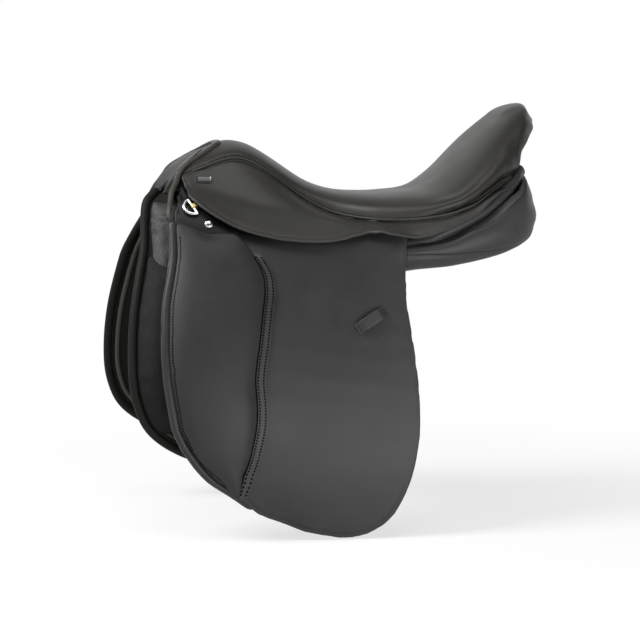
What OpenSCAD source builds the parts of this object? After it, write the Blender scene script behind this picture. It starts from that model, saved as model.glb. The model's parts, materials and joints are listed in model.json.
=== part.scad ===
// Dressage saddle on a spring tree, in millimetres.
// +X points to the horse's head, +Y to the near (left) side and +Z up.
// The origin is on the mid-plane, at the height where the panels bear on the back.

/* [Seat] */
// Seat length ahead of the origin, on the centreline
seat_front = 187; // [175:1:195]
// Seat length behind the origin, to the back of the cantle
seat_back = 231; // [220:1:240]
// Height of the seat's lowest point above the bearing plane
seat_low = 100; // [96:1:106]
// Height of the pommel above the bearing plane
pommel_h = 165; // [158:1:172]
// Height of the cantle above the bearing plane
cantle_h = 211; // [200:1:222]
// Width of the seat at the twist
twist_w = 128; // [120:1:134]
// Width of the seat at its widest
seat_w = 286; // [274:1:296]
// Thickness of the seat leather
seat_leather = 2.5; // [1.5:0.1:3.5]
// Thickness of the seat foam
foam_t = 26; // [18:1:30]
// Diameter of the welt between seat and skirts
welt_d = 4; // [3:0.2:5]

/* [Skirts] */
// Thickness of the skirt leather
skirt_t = 3.5; // [2.5:0.1:4]
// Length of the blank name plate
plate_l = 20; // [12:1:24]
// Height of the blank name plate
plate_h = 11; // [8:1:13]

/* [Flaps] */
// Length of a flap from its fold to its lowest point
flap_len = 385; // [350:1:410]
// Width of a flap along its fold
flap_w = 289; // [275:1:305]
// Thickness of the flap leather
flap_t = 4; // [3:0.1:5]
// How far the flap stands out below its fold, at the front
splay_front = 70; // [60:1:80]
// How far the flap stands out below its fold, at the back
splay_rear = 36; // [28:1:44]
// Depth below the fold at which the flap stands out most
splay_depth = 260; // [230:1:300]
// Crown of the knee pad's foam
pad_crown = 8; // [4:0.5:11]
// Thickness of the knee pad's leather cover
pad_cover_t = 1.6; // [1:0.1:2.5]
// Width of the sewn strip behind the knee pad
strip_w = 11; // [8:0.5:14]
// Thickness of the sewn strip
strip_t = 2; // [1.2:0.1:3]
// Diameter of the piping on a flap's front edge
piping_d = 10; // [7:0.5:12]

/* [Stirrup leather keeper] */
// Length of the keeper
keeper_l = 44; // [42:1:52]
// Width of the keeper
keeper_w = 16; // [12:1:20]
// Thickness of the keeper's leather
keeper_t = 2.2; // [1.5:0.1:3]
// Room under the keeper for the strap's end
keeper_gap = 6; // [5.5:0.1:7.5]
// Length of each sewn end of the keeper
keeper_foot = 6; // [4:0.5:7]

/* [Sweat flaps] */
// Thickness of the sweat flap
sweat_t = 3; // [2:0.1:4]
// Room between sweat flap and flap, at the back
room_rear = 12; // [11:0.5:14]
// Room between sweat flap and flap, at the front
room_front = 36; // [30:1:42]
// Diameter of the piping on a sweat flap's edge
sweat_piping_d = 9; // [7:0.5:11]
// Thickness of the knee block
block_t = 17; // [12:1:20]
// Thickness of the padded point pocket
pocket_t = 11; // [8:1:13]

/* [Panels] */
// Extra thickness of the panel's flocking
flocking = 0; // [-3:0.5:2]
// Fullness of the rear gusset
gusset_t = 6; // [4:0.5:8]
// Diameter of the roll along the top of the rear panel
roll_d = 14; // [10:1:16]

/* [Tree] */
// Width of the tree's rails
rail_w = 24; // [20:1:28]
// Thickness of the tree's rails
rail_t = 12; // [9:0.5:14]
// Height of the head arch's centreline above the bearing plane
arch_h = 112; // [106:1:115]
// Thickness of the head arch
arch_t = 12; // [10:0.5:14]
// Length of the head arch along the saddle
arch_l = 87; // [80:1:95]
// Thickness of the steel head and gullet plates
steel_t = 3; // [2:0.2:4]
// Width of the spring steels
spring_w = 14; // [10:1:18]
// Thickness of the spring steels
spring_t = 1.5; // [1:0.1:2.5]
// Diameter of the rivets
rivet_d = 6; // [4:0.5:8]
// Thickness of the seat webs
web_t = 2; // [1.2:0.1:2.6]

/* [Stirrup bars] */
// Length of the stirrup bar
bar_l = 82; // [76:1:84]
// Height of the stirrup bar's section
bar_h = 16; // [12:1:20]
// Thickness of the stirrup bar
bar_t = 6; // [4:0.5:7]
// Room behind the bar for the stirrup leather
bar_room = 7; // [5:0.5:8]
// Thickness of the bar's riveted base
base_t = 3; // [2:0.5:4]
// Diameter of the catch's pin
catch_pin_d = 4; // [3:0.2:5]
// Length of the catch
catch_l = 20; // [16:1:24]

/* [Girth straps] */
// Width of a girth strap
strap_w = 25; // [20:1:28]
// Thickness of a girth strap
strap_t = 4; // [3:0.2:5]
// Length of a girth strap
strap_l = 290; // [240:5:300]
// Diameter of the buckle holes
hole_d = 5; // [4:0.5:7]
// Distance between buckle holes
hole_pitch = 25; // [20:1:30]
// Number of buckle holes
hole_count = 7; // [4:1:8]

/* [Metal fittings] */
// Diameter of the dee ring's wire
dee_wire = 4; // [3:0.2:5]
// Inside width of the dee ring
dee_w = 18; // [14:1:22]
// Diameter of a saddle nail's head
nail_d = 11; // [8:0.5:13]

/* [Hidden] */

black = [0.12, 0.12, 0.12];
grained = [0.16, 0.16, 0.16];
foam_white = [0.85, 0.84, 0.78];
beech = [0.72, 0.55, 0.36];
steel = [0.75, 0.75, 0.77];
webbing = [0.80, 0.76, 0.66];

// Clearance between pieces that lie on each other
clear = 0.3;
// Clearance round a pin that turns
pin_clear = 0.05;

// Curves and solids

function lerp(a, b, t) = a + (b - a) * t;
function smooth(t) = let (c = min(1, max(0, t))) c * c * (3 - 2 * c);
function unit(v) = v / norm(v);
function sum(v) = v * [for (x = v) 1];

// Point at parameter t on a smooth curve through the points p, where t counts the points
function spline_at(p, t) =
  let (n = len(p) - 1, i = max(0, min(floor(t), n - 1)), f = t - i,
       p0 = p[max(i - 1, 0)], p1 = p[i], p2 = p[i + 1], p3 = p[min(i + 2, n)])
  0.5 * (2 * p1 + (p2 - p0) * f + (2 * p0 - 5 * p1 + 4 * p2 - p3) * f * f
         + (3 * p1 - p0 - 3 * p2 + p3) * f * f * f);
function spline(p, n) = [for (k = [0:n]) spline_at(p, k * (len(p) - 1) / n)];

function volume(p, faces) = sum([for (f = faces) p[f[0]] * cross(p[f[1]], p[f[2]])]) / 6;

// Closed solid from points and triangles, whichever way the triangles were listed
module solid(p, faces) {
  turned = volume(p, faces) > 0;
  polyhedron(points = p, faces = turned ? [for (f = faces) [f[2], f[1], f[0]]] : faces);
}

// Solid between two grids of points, such as the two faces of a piece of leather
module sheet(a, b) {
  n = len(a);
  m = len(a[0]);
  low = n * m;
  solid(
    [for (g = [a, b]) for (r = g) for (p = r) p],
    [for (i = [0:n - 2], j = [0:m - 2], k = [0:3])
        let (q = i * m + j)
        [[q, q + 1, q + m + 1], [q, q + m + 1, q + m],
         [low + q, low + q + m + 1, low + q + 1], [low + q, low + q + m, low + q + m + 1]][k],
     for (j = [0:m - 2], k = [0:3])
        let (q = j, e = (n - 1) * m + j)
        [[q + 1, q, low + q], [q + 1, low + q, low + q + 1],
         [e, e + 1, low + e + 1], [e, low + e + 1, low + e]][k],
     for (i = [0:n - 2], k = [0:3])
        let (q = i * m, e = i * m + m - 1)
        [[q, q + m, low + q + m], [q, low + q + m, low + q],
         [e + m, e, low + e], [e + m, low + e, low + e + m]][k]]
  );
}

// Solid through a row of closed rings, with flat ends
module loft(rings) {
  n = len(rings);
  m = len(rings[0]);
  solid(
    [for (r = rings) for (p = r) p],
    [for (i = [0:n - 2], j = [0:m - 1], k = [0:1])
        let (q = i * m + j, w = i * m + (j + 1) % m)
        [[q, w, w + m], [q, w + m, q + m]][k],
     for (j = [1:m - 2], k = [0:1])
        let (e = (n - 1) * m)
        [[0, j + 1, j], [e, e + j, e + j + 1]][k]]
  );
}

// Direction of a path at its point i
function along(path, i) = unit(path[min(i + 1, len(path) - 1)] - path[max(i - 1, 0)]);

// Round tube along a path; up is a direction that the path never takes
module tube(path, d, sides, up = [0, 1, 0]) {
  loft([for (i = [0:len(path) - 1])
    let (t = along(path, i), n = unit(cross(t, up)), b = cross(n, t))
    [for (k = [0:sides - 1]) path[i] + d / 2 * (n * cos(360 * k / sides) + b * sin(360 * k / sides))]]);
}

// Places a piece by a point, the direction of its +X and the direction of its +Z
module place(p, x_dir, z_dir) {
  z = unit(z_dir);
  y = unit(cross(z, x_dir));
  x = cross(y, z);
  multmatrix([[x[0], y[0], z[0], p[0]], [x[1], y[1], z[1], p[1]], [x[2], y[2], z[2], p[2]]])
    children();
}

module off_side() {
  mirror([0, 1, 0]) children();
}

module both_sides() {
  children();
  off_side() children();
}

// Seat: rows from pommel to cantle, as shares of the seat's sizes.
// Each row has the centreline's place and height, the edge's place and spread,
// and the drop to the edge in mm.
seat_shares = [
  [1.000, 0.954, 1.257, 0.000, 38],
  [0.910, 1.000, 1.107, 0.000, 29],
  [0.775, 0.923, 0.898, 0.000, 14],
  [0.600, 0.625, 0.695, 0.025, 11],
  [0.400, 0.245, 0.481, 0.114, 16.5],
  [0.214, 0.054, 0.267, 0.316, 25.5],
  [0.000, 0.000, 0.000, 0.720, 30],
  [-0.173, 0.0135, -0.216, 0.950, 30.5],
  [-0.346, 0.080, -0.411, 1.000, 29],
  [-0.520, 0.355, -0.563, 0.924, 46],
  [-0.690, 0.695, -0.675, 0.760, 77],
  [-0.845, 0.950, -0.745, 0.610, 103],
  [-0.960, 1.000, -0.770, 0.560, 108],
  [-1.000, 0.810, -0.784, 0.530, 88]
];
seat_end = len(seat_shares) - 1;
// Row at which the cantle starts to roll over to its back
roll_row = 10;

function seat_x(share) = share * (share > 0 ? seat_front : seat_back);
seat_rows = [for (r = seat_shares)
  let (zc = seat_low + r[1] * ((r[0] > 0 ? pommel_h : cantle_h) - seat_low))
  [seat_x(r[0]), zc, seat_x(r[2]), lerp(twist_w, seat_w, r[3]) / 2, zc - r[4]]];

// Crossways shape of the seat: an arch at the pommel, then flat in the middle and round at the edge
edge_round = [1.1, 0.85];
top_round = [1.8, 0.75];
function crossways(xc, zc, xw, yw, zw, v, k = 1) =
  let (a = 90 * min(1, abs(v)))
  [lerp(xc, xw, pow(sin(a), 1.5)), sign(v) * yw * pow(sin(a), lerp(edge_round[0], edge_round[1], k)),
   zw + (zc - zw) * pow(cos(a), lerp(top_round[0], top_round[1], k))];
function flatness(s) = smooth(s / 3);

// Point of the seat's top at row s and share v of its width, sunk by t
function seat_at(s, v, t = 0) =
  let (r = spline_at(seat_rows, s), back = t * smooth((s - roll_row) / (seat_end - roll_row)))
  crossways(r[0] + back, r[1] - t, r[2] + back, r[3] - t, r[4], v, flatness(s));

// Edge of the seat, where the welt lies
function seat_edge(s) = let (r = spline_at(seat_rows, s)) [r[2], r[3], r[4]];

// Underside of the seat's foam, which rests on the webs
base_rise = 1;
function foam_base(s, v, drop = 0) =
  let (r = spline_at(seat_rows, s), t = seat_leather + clear,
       back = t * smooth((s - roll_row) / (seat_end - roll_row)))
  crossways(r[0] + back, max(r[4] + base_rise, r[1] - t - foam_t) - drop, r[2] + back,
            r[3] - t - base_rise, r[4] + base_rise - drop, v, flatness(s));

// Steps shared by the seat's layers, so that they lie on each other
row_step = 0.5;
across = 7;
function rows_between(a, b) = [for (s = [a:row_step:b + 0.01]) s];

module seat_cover() {
  rows = rows_between(0, seat_end);
  cols = [for (j = [-across:across]) j / across];
  color(black)
    sheet([for (s = rows) [for (v = cols) seat_at(s, v)]],
          [for (s = rows) [for (v = cols) seat_at(s, v, seat_leather)]]);
}

foam_rows = [0.5, 11.5];
module seat_foam() {
  rows = rows_between(foam_rows[0], foam_rows[1]);
  cols = [for (j = [1 - across:across - 1]) j / across];
  color(foam_white)
    sheet([for (s = rows) [for (v = cols) seat_at(s, v, seat_leather + clear)]],
          [for (s = rows) [for (v = cols) foam_base(s, v)]]);
}

// Welt: a thin cord under the seat's edge
welt_rows = [0.5, 11];
welt_gap = 0.5;
function welt_at(s) = seat_edge(s) - [0, 0, welt_d / 2 + welt_gap];
module seat_welt() {
  color(black)
    tube([for (s = rows_between(welt_rows[0], welt_rows[1])) welt_at(s)], welt_d, 6, [0, 0, 1]);
}

// Webs under the foam: two run from head to cantle, two cross below them
long_web_rows = [3.5, 11];
long_web_cols = [1, 2];
cross_web_rows = [5.5, 7];
cross_web_reach = 4;
function strip_between(a, t) = [for (r = a) [for (p = r) p - [0, 0, t]]];

module seat_webs() {
  color(webbing)
    both_sides() {
      top = [for (s = rows_between(long_web_rows[0], long_web_rows[1]))
        [for (j = long_web_cols) foam_base(s, j / across, 2 * clear)]];
      sheet(top, strip_between(top, web_t));
    }
}

module cross_webs() {
  color(webbing)
    for (s = cross_web_rows) {
      top = [for (k = [0, row_step])
        [for (j = [-cross_web_reach:cross_web_reach]) foam_base(s + k, j / across, 3 * clear + web_t)]];
      sheet(top, strip_between(top, web_t));
    }
}

// Tree: a head arch, and a frame of two rails that meet behind in the cantle
rail_share = 0.48;
rail_rows = [4, 10];
rail_drop = 7 * clear + 2 * web_t + rail_t / 2;
// In the cantle the rails lie deeper, clear of the foam's slope
cantle_drop = 12;
// The rails lie flat, and the cantle's arch leans back
cantle_lean = 0.75;
function rail_up(v) = unit([cantle_lean * smooth(1 - abs(v) / rail_share), 0, 1]);
function rail_at(s, v) =
  foam_base(s, v) - (rail_drop + cantle_drop * smooth((s - 8) / 2)) * rail_up(v);
// Rear face of the head arch, where the rails start
arch_rear = 118;
rail_start = [arch_rear - clear, 44, arch_h - 14];
side_rail = concat([rail_start, rail_start - [10, 0, 0]],
  [for (s = rows_between(rail_rows[0], rail_rows[1])) rail_at(s, rail_share)]);
cantle_rail = [for (v = [0.32, 0.16, 0, -0.16, -0.32]) rail_at(rail_rows[1], v)];
rail_path = concat(side_rail, cantle_rail,
  [for (i = [len(side_rail) - 1:-1:0]) [side_rail[i][0], -side_rail[i][1], side_rail[i][2]]]);

// Section of the rail at point i, from low to high across its thickness
function rail_ring(i, w, low, high) =
  let (n = len(side_rail), up = i >= n && i < n + 5 ? rail_up(0.16 * abs(i - n - 2)) : [0, 0, 1],
       dir = along(rail_path, i), side = unit(cross(dir, up)), top = cross(side, dir))
  [for (k = [[-1, low], [1, low], [1, high], [-1, high]]) rail_path[i] + k[0] * w / 2 * side + k[1] * top];

module tree_frame() {
  color(beech)
    loft([for (i = [0:len(rail_path) - 1]) rail_ring(i, rail_w, -rail_t / 2, rail_t / 2)]);
}

// Spring steels: one under each rail
spring_points = [2, 12];
module tree_springs() {
  top = -rail_t / 2 - 2 * clear;
  color(steel)
    both_sides()
      loft([for (i = [spring_points[0]:spring_points[1]]) rail_ring(i, spring_w, top - spring_t, top)]);
}

// Head arch: half of its centreline in Y and Z, with straight legs that end in the points
arch_crown = [[0, arch_h], [18, arch_h - 1.5], [36, arch_h - 9], [50, arch_h - 20]];
arch_foot = [80, 36];
arch_line = concat(spline(arch_crown, 9), [arch_foot]);
function arch_normal(i) =
  let (d = arch_line[min(i + 1, len(arch_line) - 1)] - arch_line[max(i - 1, 0)]) unit([-d[1], d[0]]);
function arch_side(off, last) = [for (i = [0:last]) arch_line[i] + off * (i == 0 ? [0, 1] : arch_normal(i))];
function mirrored(p) = [for (i = [len(p) - 1:-1:1]) [-p[i][0], p[i][1]]];
function arch_band(low, high, last) =
  concat(mirrored(arch_side(high, last)), arch_side(high, last),
         [for (i = [last:-1:0]) arch_side(low, last)[i]],
         [for (i = [1:last]) [-arch_side(low, last)[i][0], arch_side(low, last)[i][1]]]);

module arch_extrude(low, high, last, x, l) {
  translate([x + l, 0, 0]) rotate([90, 0, -90]) mirror([1, 0, 0])
    linear_extrude(l) polygon(arch_band(low, high, last));
}

leg_end = len(arch_line) - 1;
crown_end = leg_end - 1;
plate_l_x = 34;
plate_inset = 4;
plate_x = arch_rear + arch_l - plate_l_x - plate_inset;

module tree_head() {
  color(beech) arch_extrude(-arch_t / 2, arch_t / 2, leg_end, arch_rear, arch_l);
}
module head_plate() {
  color(steel)
    arch_extrude(arch_t / 2 + clear, arch_t / 2 + clear + steel_t, crown_end, plate_x, plate_l_x);
}
module gullet_plate() {
  color(steel)
    arch_extrude(-arch_t / 2 - clear - steel_t, -arch_t / 2 - clear, crown_end, plate_x, plate_l_x);
}

// Frame on the outer face of a leg of the arch, where the stirrup bar is riveted
leg_dir = unit(arch_foot - arch_crown[3]);
leg_out = [-leg_dir[1], leg_dir[0]];
bar_seat = lerp(arch_crown[3], arch_foot, 0.36) + leg_out * arch_t / 2;
bar_x = arch_rear + arch_l / 2;
rivet_spread = bar_l / 2 - 16;
module on_leg() {
  place([bar_x, bar_seat[0], bar_seat[1]], [1, 0, 0], [0, leg_out[0], leg_out[1]]) children();
}

// Rivets: dome heads on the bar's base and on the head plate
head_h = 1.6;
module rivet() {
  rotate_extrude($fn = 20)
    polygon([[0, 0], [rivet_d / 2, 0], [rivet_d / 2, head_h / 2], [rivet_d / 4, head_h], [0, head_h]]);
}
module tree_rivets() {
  color(steel) {
    both_sides() on_leg()
      for (k = [-1, 1]) translate([k * rivet_spread, 0, base_t + 2 * clear]) rivet();
    for (k = [-1, 1])
      translate([plate_x + plate_l_x / 2 + k * plate_l_x / 4, 0, arch_h + arch_t / 2 + steel_t + 2 * clear])
        rivet();
  }
}

// Stirrup bar: a riveted base, a bend at the front and a bar that is open at the back
bend_l = 10;
bar_rise = base_t + clear + bar_room;
pin_x = -bar_l / 2 + 7;
catch_t = 4;
catch_gap = 0.3;
module stirrup_bar() {
  color(steel)
    on_leg() translate([0, 0, clear]) {
      translate([-bar_l / 2, -bar_h / 2, 0]) cube([bar_l, bar_h, base_t]);
      translate([bar_l / 2 - bend_l, -bar_h / 2, 0]) cube([bend_l, bar_h, bar_rise + bar_t]);
      translate([-bar_l / 2 + 14, -bar_h / 2 + 1, bar_rise]) cube([bar_l - 14, bar_h - 2, bar_t]);
      translate([pin_x - 5, -bar_h / 2 + 1, bar_rise]) cube([bar_l / 2, bar_h - 2, bar_t - catch_t]);
      translate([pin_x, 0, bar_rise]) cylinder(d = catch_pin_d, h = bar_t + catch_gap, $fn = 32);
    }
}

// Catch: a small lever on the pin at the bar's open end
catch_h = 9;
module bar_catch() {
  color(steel)
    on_leg() translate([pin_x, 0, clear + bar_rise + bar_t - catch_t + catch_gap])
      difference() {
        union() {
          cylinder(d = catch_h, h = catch_t - catch_gap, $fn = 48);
          translate([-catch_l + catch_h / 2, -catch_h / 2, 0])
            cube([catch_l - catch_h / 2, catch_h, catch_t - catch_gap]);
        }
        translate([0, 0, -1]) cylinder(d = catch_pin_d + 2 * pin_clear, h = catch_t + 2, $fn = 48);
      }
}

// Flap surface on the near side: its inner face stands out from the fold line downwards
fold_front = [259, 108, 66];
fold_overhang = 2;
fold_rear = [fold_front[0] - flap_w + fold_overhang, 146, 12];
fold_slope = (fold_front[2] - fold_rear[2]) / (fold_front[0] - fold_rear[0]);
curl_front = 0.0105;
curl_rear = 0.002;
function fold_share(x) = (x - fold_rear[0]) / (fold_front[0] - fold_rear[0]);
function fold_z(x) = fold_rear[2] + (x - fold_rear[0]) * fold_slope;
function flap_y(x, z) =
  let (h = z - fold_z(x), k = fold_share(x), y0 = lerp(fold_rear[1], fold_front[1], k),
       g = lerp(splay_rear, splay_front, k))
  h < 0
    ? y0 + g * sin(90 * min(-h / splay_depth, 1.4))
    : y0 - g * PI / 2 / splay_depth * h - lerp(curl_rear, curl_front, k) * h * h;

// Point on the flap's inner face, moved out by d
function on_flap(p, d = 0) = [p[0], flap_y(p[0], p[1]) + d, p[1]];
function flap_normal(p) =
  let (dx = [1, 0], dz = [0, 1])
  unit(cross(on_flap(p + dz) - on_flap(p - dz), on_flap(p + dx) - on_flap(p - dx)));

// Flap outline: rows from the fold to the lowest point, as shares of its width and drop.
// Each row has the front edge's place and drop and the rear edge's place and drop.
flap_shares = [
  [1.000, 0.000, 0.000, 0.000],
  [1.006, 0.119, 0.006, 0.127],
  [1.041, 0.275, -0.015, 0.293],
  [1.040, 0.431, -0.033, 0.459],
  [1.000, 0.574, -0.034, 0.610],
  [0.942, 0.712, -0.008, 0.746],
  [0.853, 0.824, 0.033, 0.846],
  [0.694, 0.914, 0.092, 0.930],
  [0.482, 0.973, 0.178, 0.982],
  [0.311, 1.000, 0.256, 1.000]
];
flap_end = len(flap_shares) - 1;
flap_top_z = fold_z(fold_rear[0] + flap_w);
flap_rows = [for (r = flap_shares)
  [fold_rear[0] + r[0] * flap_w, flap_top_z - r[1] * flap_len,
   fold_rear[0] + r[2] * flap_w, fold_rear[2] - r[3] * (flap_len - flap_top_z + fold_rear[2])]];
fold_gap = 0.4;

// Front edge of an outline at row u, moved inwards by d across the edge
function front_edge(rows, u, d) =
  let (e = 0.05, a = spline_at(rows, max(0, u - e)), b = spline_at(rows, min(len(rows) - 1, u + e)),
       r = spline_at(rows, u), t = unit([b[0] - a[0], b[1] - a[1]]))
  [r[0] + t[1] * d, r[1] - t[0] * d];

// The piping follows the front edge as far as the knee pad goes
piped_end = 6.5;
function piped(u) = piping_d * (1 - smooth((u - piped_end - 0.15) / 0.6));
// Place in X and Z on the flap at row u and share c from its front to its rear edge
function flap_at(u, c) =
  let (r = spline_at(flap_rows, u), f = [r[0], r[1]], b = [r[2], r[3]],
       front = lerp(f + unit(b - f) * piped(u), front_edge(flap_rows, u, piped(u)), smooth(u)))
  lerp(front, b, c) - [0, fold_gap];
function flap_span(u) = norm(flap_at(u, 0) - flap_at(u, 1));

// Row steps that close up towards the round bottom
function flap_row(i, n) = flap_end * (1 - pow(1 - i / n, 1.25));

module flap() {
  rows = [for (i = [0:18]) flap_row(i, 18)];
  grid = [for (u = rows) [for (j = [0:8]) flap_at(u, j / 8)]];
  color(black)
    sheet([for (r = grid) [for (p = r) on_flap(p)]], [for (r = grid) [for (p = r) on_flap(p, flap_t)]]);
}

module flap_piping() {
  path = [for (i = [0:22])
    on_flap(front_edge(flap_rows, lerp(0.15, piped_end, i / 22), piping_d / 2 - clear), flap_t / 2)];
  color(black) tube(path, piping_d - 4 * clear, 8);
}

// Knee pad: rear edge as shares of the flap's rows, from the fold down to where it meets the front edge
pad_rear = [0.26, 0.37, 0.365, 0.332, 0.312, 0.215, 0.085, 0.02];
pad_rows = [0.10, 6.3];
pad_edge = 1;
function pad_share(u, w) =
  let (front = pad_edge / flap_span(u),
       rear = max(front + 0.02, spline_at([for (c = pad_rear) [c, 0]], u)[0]))
  lerp(front, rear, w);
function pad_crown_at(t, w) =
  pad_crown * pow(max(0, sin(180 * t)), 0.4) * pow(max(0, sin(180 * w)), 0.55);

pad_steps = 15;
pad_across = 8;
// One layer of the pad, from low to high above the flap; bare leaves out the outermost steps
module pad_layer(low_share, low, high, bare) {
  grid = [for (i = [bare:pad_steps - bare]) [for (j = [bare:pad_across - bare])
    let (t = i / pad_steps, w = j / pad_across, u = lerp(pad_rows[0], pad_rows[1], t))
    [flap_at(u, pad_share(u, w)), pad_crown_at(t, w)]]];
  sheet([for (r = grid) [for (q = r) on_flap(q[0], flap_t + low + low_share * q[1])]],
        [for (r = grid) [for (q = r) on_flap(q[0], flap_t + high + q[1])]]);
}
pad_seat = 2 * clear;
module knee_pad_foam() {
  color(foam_white) pad_layer(0, pad_seat, pad_seat, 1);
}
module knee_pad_cover() {
  color(grained) pad_layer(1, pad_seat + clear, pad_seat + clear + pad_cover_t, 0);
}

// Strip sewn down behind the pad
strip_rows = [0.2, 6.25];
module pad_strip() {
  grid = [for (i = [0:16])
    let (u = lerp(strip_rows[0], strip_rows[1], i / 16), c = pad_share(u, 1) + 3 * clear / flap_span(u))
    [for (w = [0, 1]) flap_at(u, c + w * strip_w / flap_span(u))]];
  color(black)
    sheet([for (r = grid) [for (p = r) on_flap(p, flap_t + pad_seat)]],
          [for (r = grid) [for (p = r) on_flap(p, flap_t + pad_seat + strip_t)]]);
}

// Keeper for the end of the stirrup leather: a strap that is sewn down at both ends
keeper_from_rear = 47;
keeper_at = [fold_rear[0] + keeper_from_rear, -54];
keeper_tilt = 33;
module keeper() {
  l = keeper_l / 2;
  f = keeper_foot;
  r = keeper_gap;
  t = keeper_t;
  color(black)
    place(on_flap(keeper_at, flap_t) + flap_normal(keeper_at) * (clear + keeper_lift),
          [-cos(keeper_tilt), 0, sin(keeper_tilt)], flap_normal(keeper_at))
      translate([0, keeper_w / 2, 0]) rotate([90, 0, 0]) linear_extrude(keeper_w)
        polygon([[-l, 0], [-l + f, 0], [-l + f + r * 0.6, r], [l - f - r * 0.6, r], [l - f, 0], [l, 0],
                 [l, t], [l - f + t / 2, t], [l - f - r * 0.6 + t / 2, r + t],
                 [-l + f + r * 0.6 - t / 2, r + t], [-l + f - t / 2, t], [-l, t]]);
}
// The flap bulges a little under the keeper's middle
keeper_lift = 0.25;

// Fixed top of the flap, above its fold: an ear that rises to the pommel and a band along the fold.
// Each column has its place on the fold and its top in X and Z.
root_top = [246, 112];
// The piping takes the place of the ear's front edge
root_inset = 5.4;
root_cols = [
  [fold_rear[0] + flap_w - root_inset, root_top[0] - root_inset, root_top[1]],
  [247, 235, 106],
  [228, 217, 91],
  [198, 196, 70],
  [150, 149, 56],
  [60, 60, 42],
  [0, -2, 37],
  [fold_rear[0], -32, 34]
];
module flap_root() {
  grid = [for (i = [0:14])
    let (r = spline_at(root_cols, (len(root_cols) - 1) * i / 14))
    [for (j = [0:5]) lerp([r[0], fold_z(r[0])], [r[1], r[2]], j / 5)]];
  color(black)
    sheet([for (r = grid) [for (p = r) on_flap(p)]], [for (r = grid) [for (p = r) on_flap(p, flap_t)]]);
}

// Piping along the seat's front edge and down the front of the flap's top
head_piping_d = 7;
function root_front(t) = lerp([fold_rear[0] + flap_w, flap_top_z], root_top, t);
head_line = concat(
  [for (v = [0.1, 0.3, 0.55, 0.8]) seat_at(0, v) + [head_piping_d / 2 + 3.4, 0, -6.5]],
  [for (t = [0.72, 0.5, 0.28, 0.08]) on_flap(root_front(t), flap_t / 2) + [1, 0, 0]]);
module head_piping() {
  color(black) both_sides() tube(spline(head_line, 18), head_piping_d, 7, [0, 1, 0.3]);
}

// Pommel facing: a crowned cover over the front of the head, between the two head pipings
facing_offset = [head_piping_d + 8, 0, -9];
facing_ear = [251, 48, 102];
facing_rear = concat([for (v = [0, 0.2, 0.42, 0.6]) seat_at(0, v) + facing_offset], [facing_ear]);
facing_front = [[238, 0, 118], [242, 16, 115], [249, 30, 107], [256, 40, 98], [260, 44, 89]];
facing_bulge = 5;
facing_t = 3;
function facing_at(u, v, t) =
  let (k = abs(v) * 4, p = lerp(spline_at(facing_rear, k), spline_at(facing_front, k), u),
       out = 0.7 * facing_bulge * sin(180 * u) - 0.7 * t)
  [p[0] + out, sign(v) * p[1], p[2] + out];
module pommel_facing() {
  grid = [for (i = [0:6]) [for (j = [-6:6]) [i / 6, j / 6]]];
  color(black)
    sheet([for (r = grid) [for (q = r) facing_at(q[0], q[1], 0)]],
          [for (r = grid) [for (q = r) facing_at(q[0], q[1], facing_t)]]);
}

// Cantle back: the cover behind the cantle, from the seat's rear seam down to the panels
back_low = [-203, 108];
back_side = [-172, 92, 97];
back_t = 3;
function back_at(u, v, t) =
  let (q = seat_at(seat_end, v), p = [q[0] + 0.5, 0.97 * q[1], q[2] - 3],
       e = crossways(back_low[0], back_low[1], back_side[0], back_side[1], back_side[2], v))
  lerp(p, e, u) + [t - 2.5 * sin(180 * u), 0, 0];
module cantle_back() {
  grid = [for (i = [0:5]) [for (j = [-across:across]) [i / 5, 0.97 * j / across]]];
  color(black)
    sheet([for (r = grid) [for (q = r) back_at(q[0], q[1], 0)]],
          [for (r = grid) [for (q = r) back_at(q[0], q[1], back_t)]]);
}

// Skirt: from the welt to its fold line, and from the fold line to its lower edge.
// Each row has the seat row that it hangs from, the lower edge in X and Z,
// and how far that edge stands off the flap (up to the lobe's end) or off the seat's edge (behind it).
skirt_rows = [
  [0.50, 234, 98, 12],
  [0.75, 227, 91, 14],
  [1.25, 213, 79, 14],
  [1.95, 181, 60, 13],
  [2.85, 138, 47, 14],
  [3.75, 97, 42, 14],
  [4.70, 58, 43, 13],
  [5.40, 30, 50, 12],
  [6.00, 3, 54, 31],
  [6.80, -40, 46, 21],
  [7.55, -74, 54, 15],
  [8.35, -112, 68, 10],
  [9.40, -146, 89, 7],
  [11.0, -172, 98, 4]
];
lobe_end = 7;
skirt_fold_front = [235, 83, 108];
skirt_fold_rear = [24, 126, 62];
function skirt_top(t) = welt_at(spline_at(skirt_rows, t)[0]) - [0, 0, welt_d / 2 + 2 * clear];
function skirt_low(t) =
  let (r = spline_at(skirt_rows, t), lobe = flap_y(r[1], r[2]) + flap_t + r[3],
       rear = seat_edge(r[0])[1] + r[3])
  [r[1], lerp(lobe, rear, smooth(t - lobe_end)), r[2]];
function skirt_fold(t) = lerp(skirt_fold_front, skirt_fold_rear, min(1, t / lobe_end));
// The skirt's thickness is measured across, and its slope makes it wider in Y
skirt_wall = skirt_t * 1.3;

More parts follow.
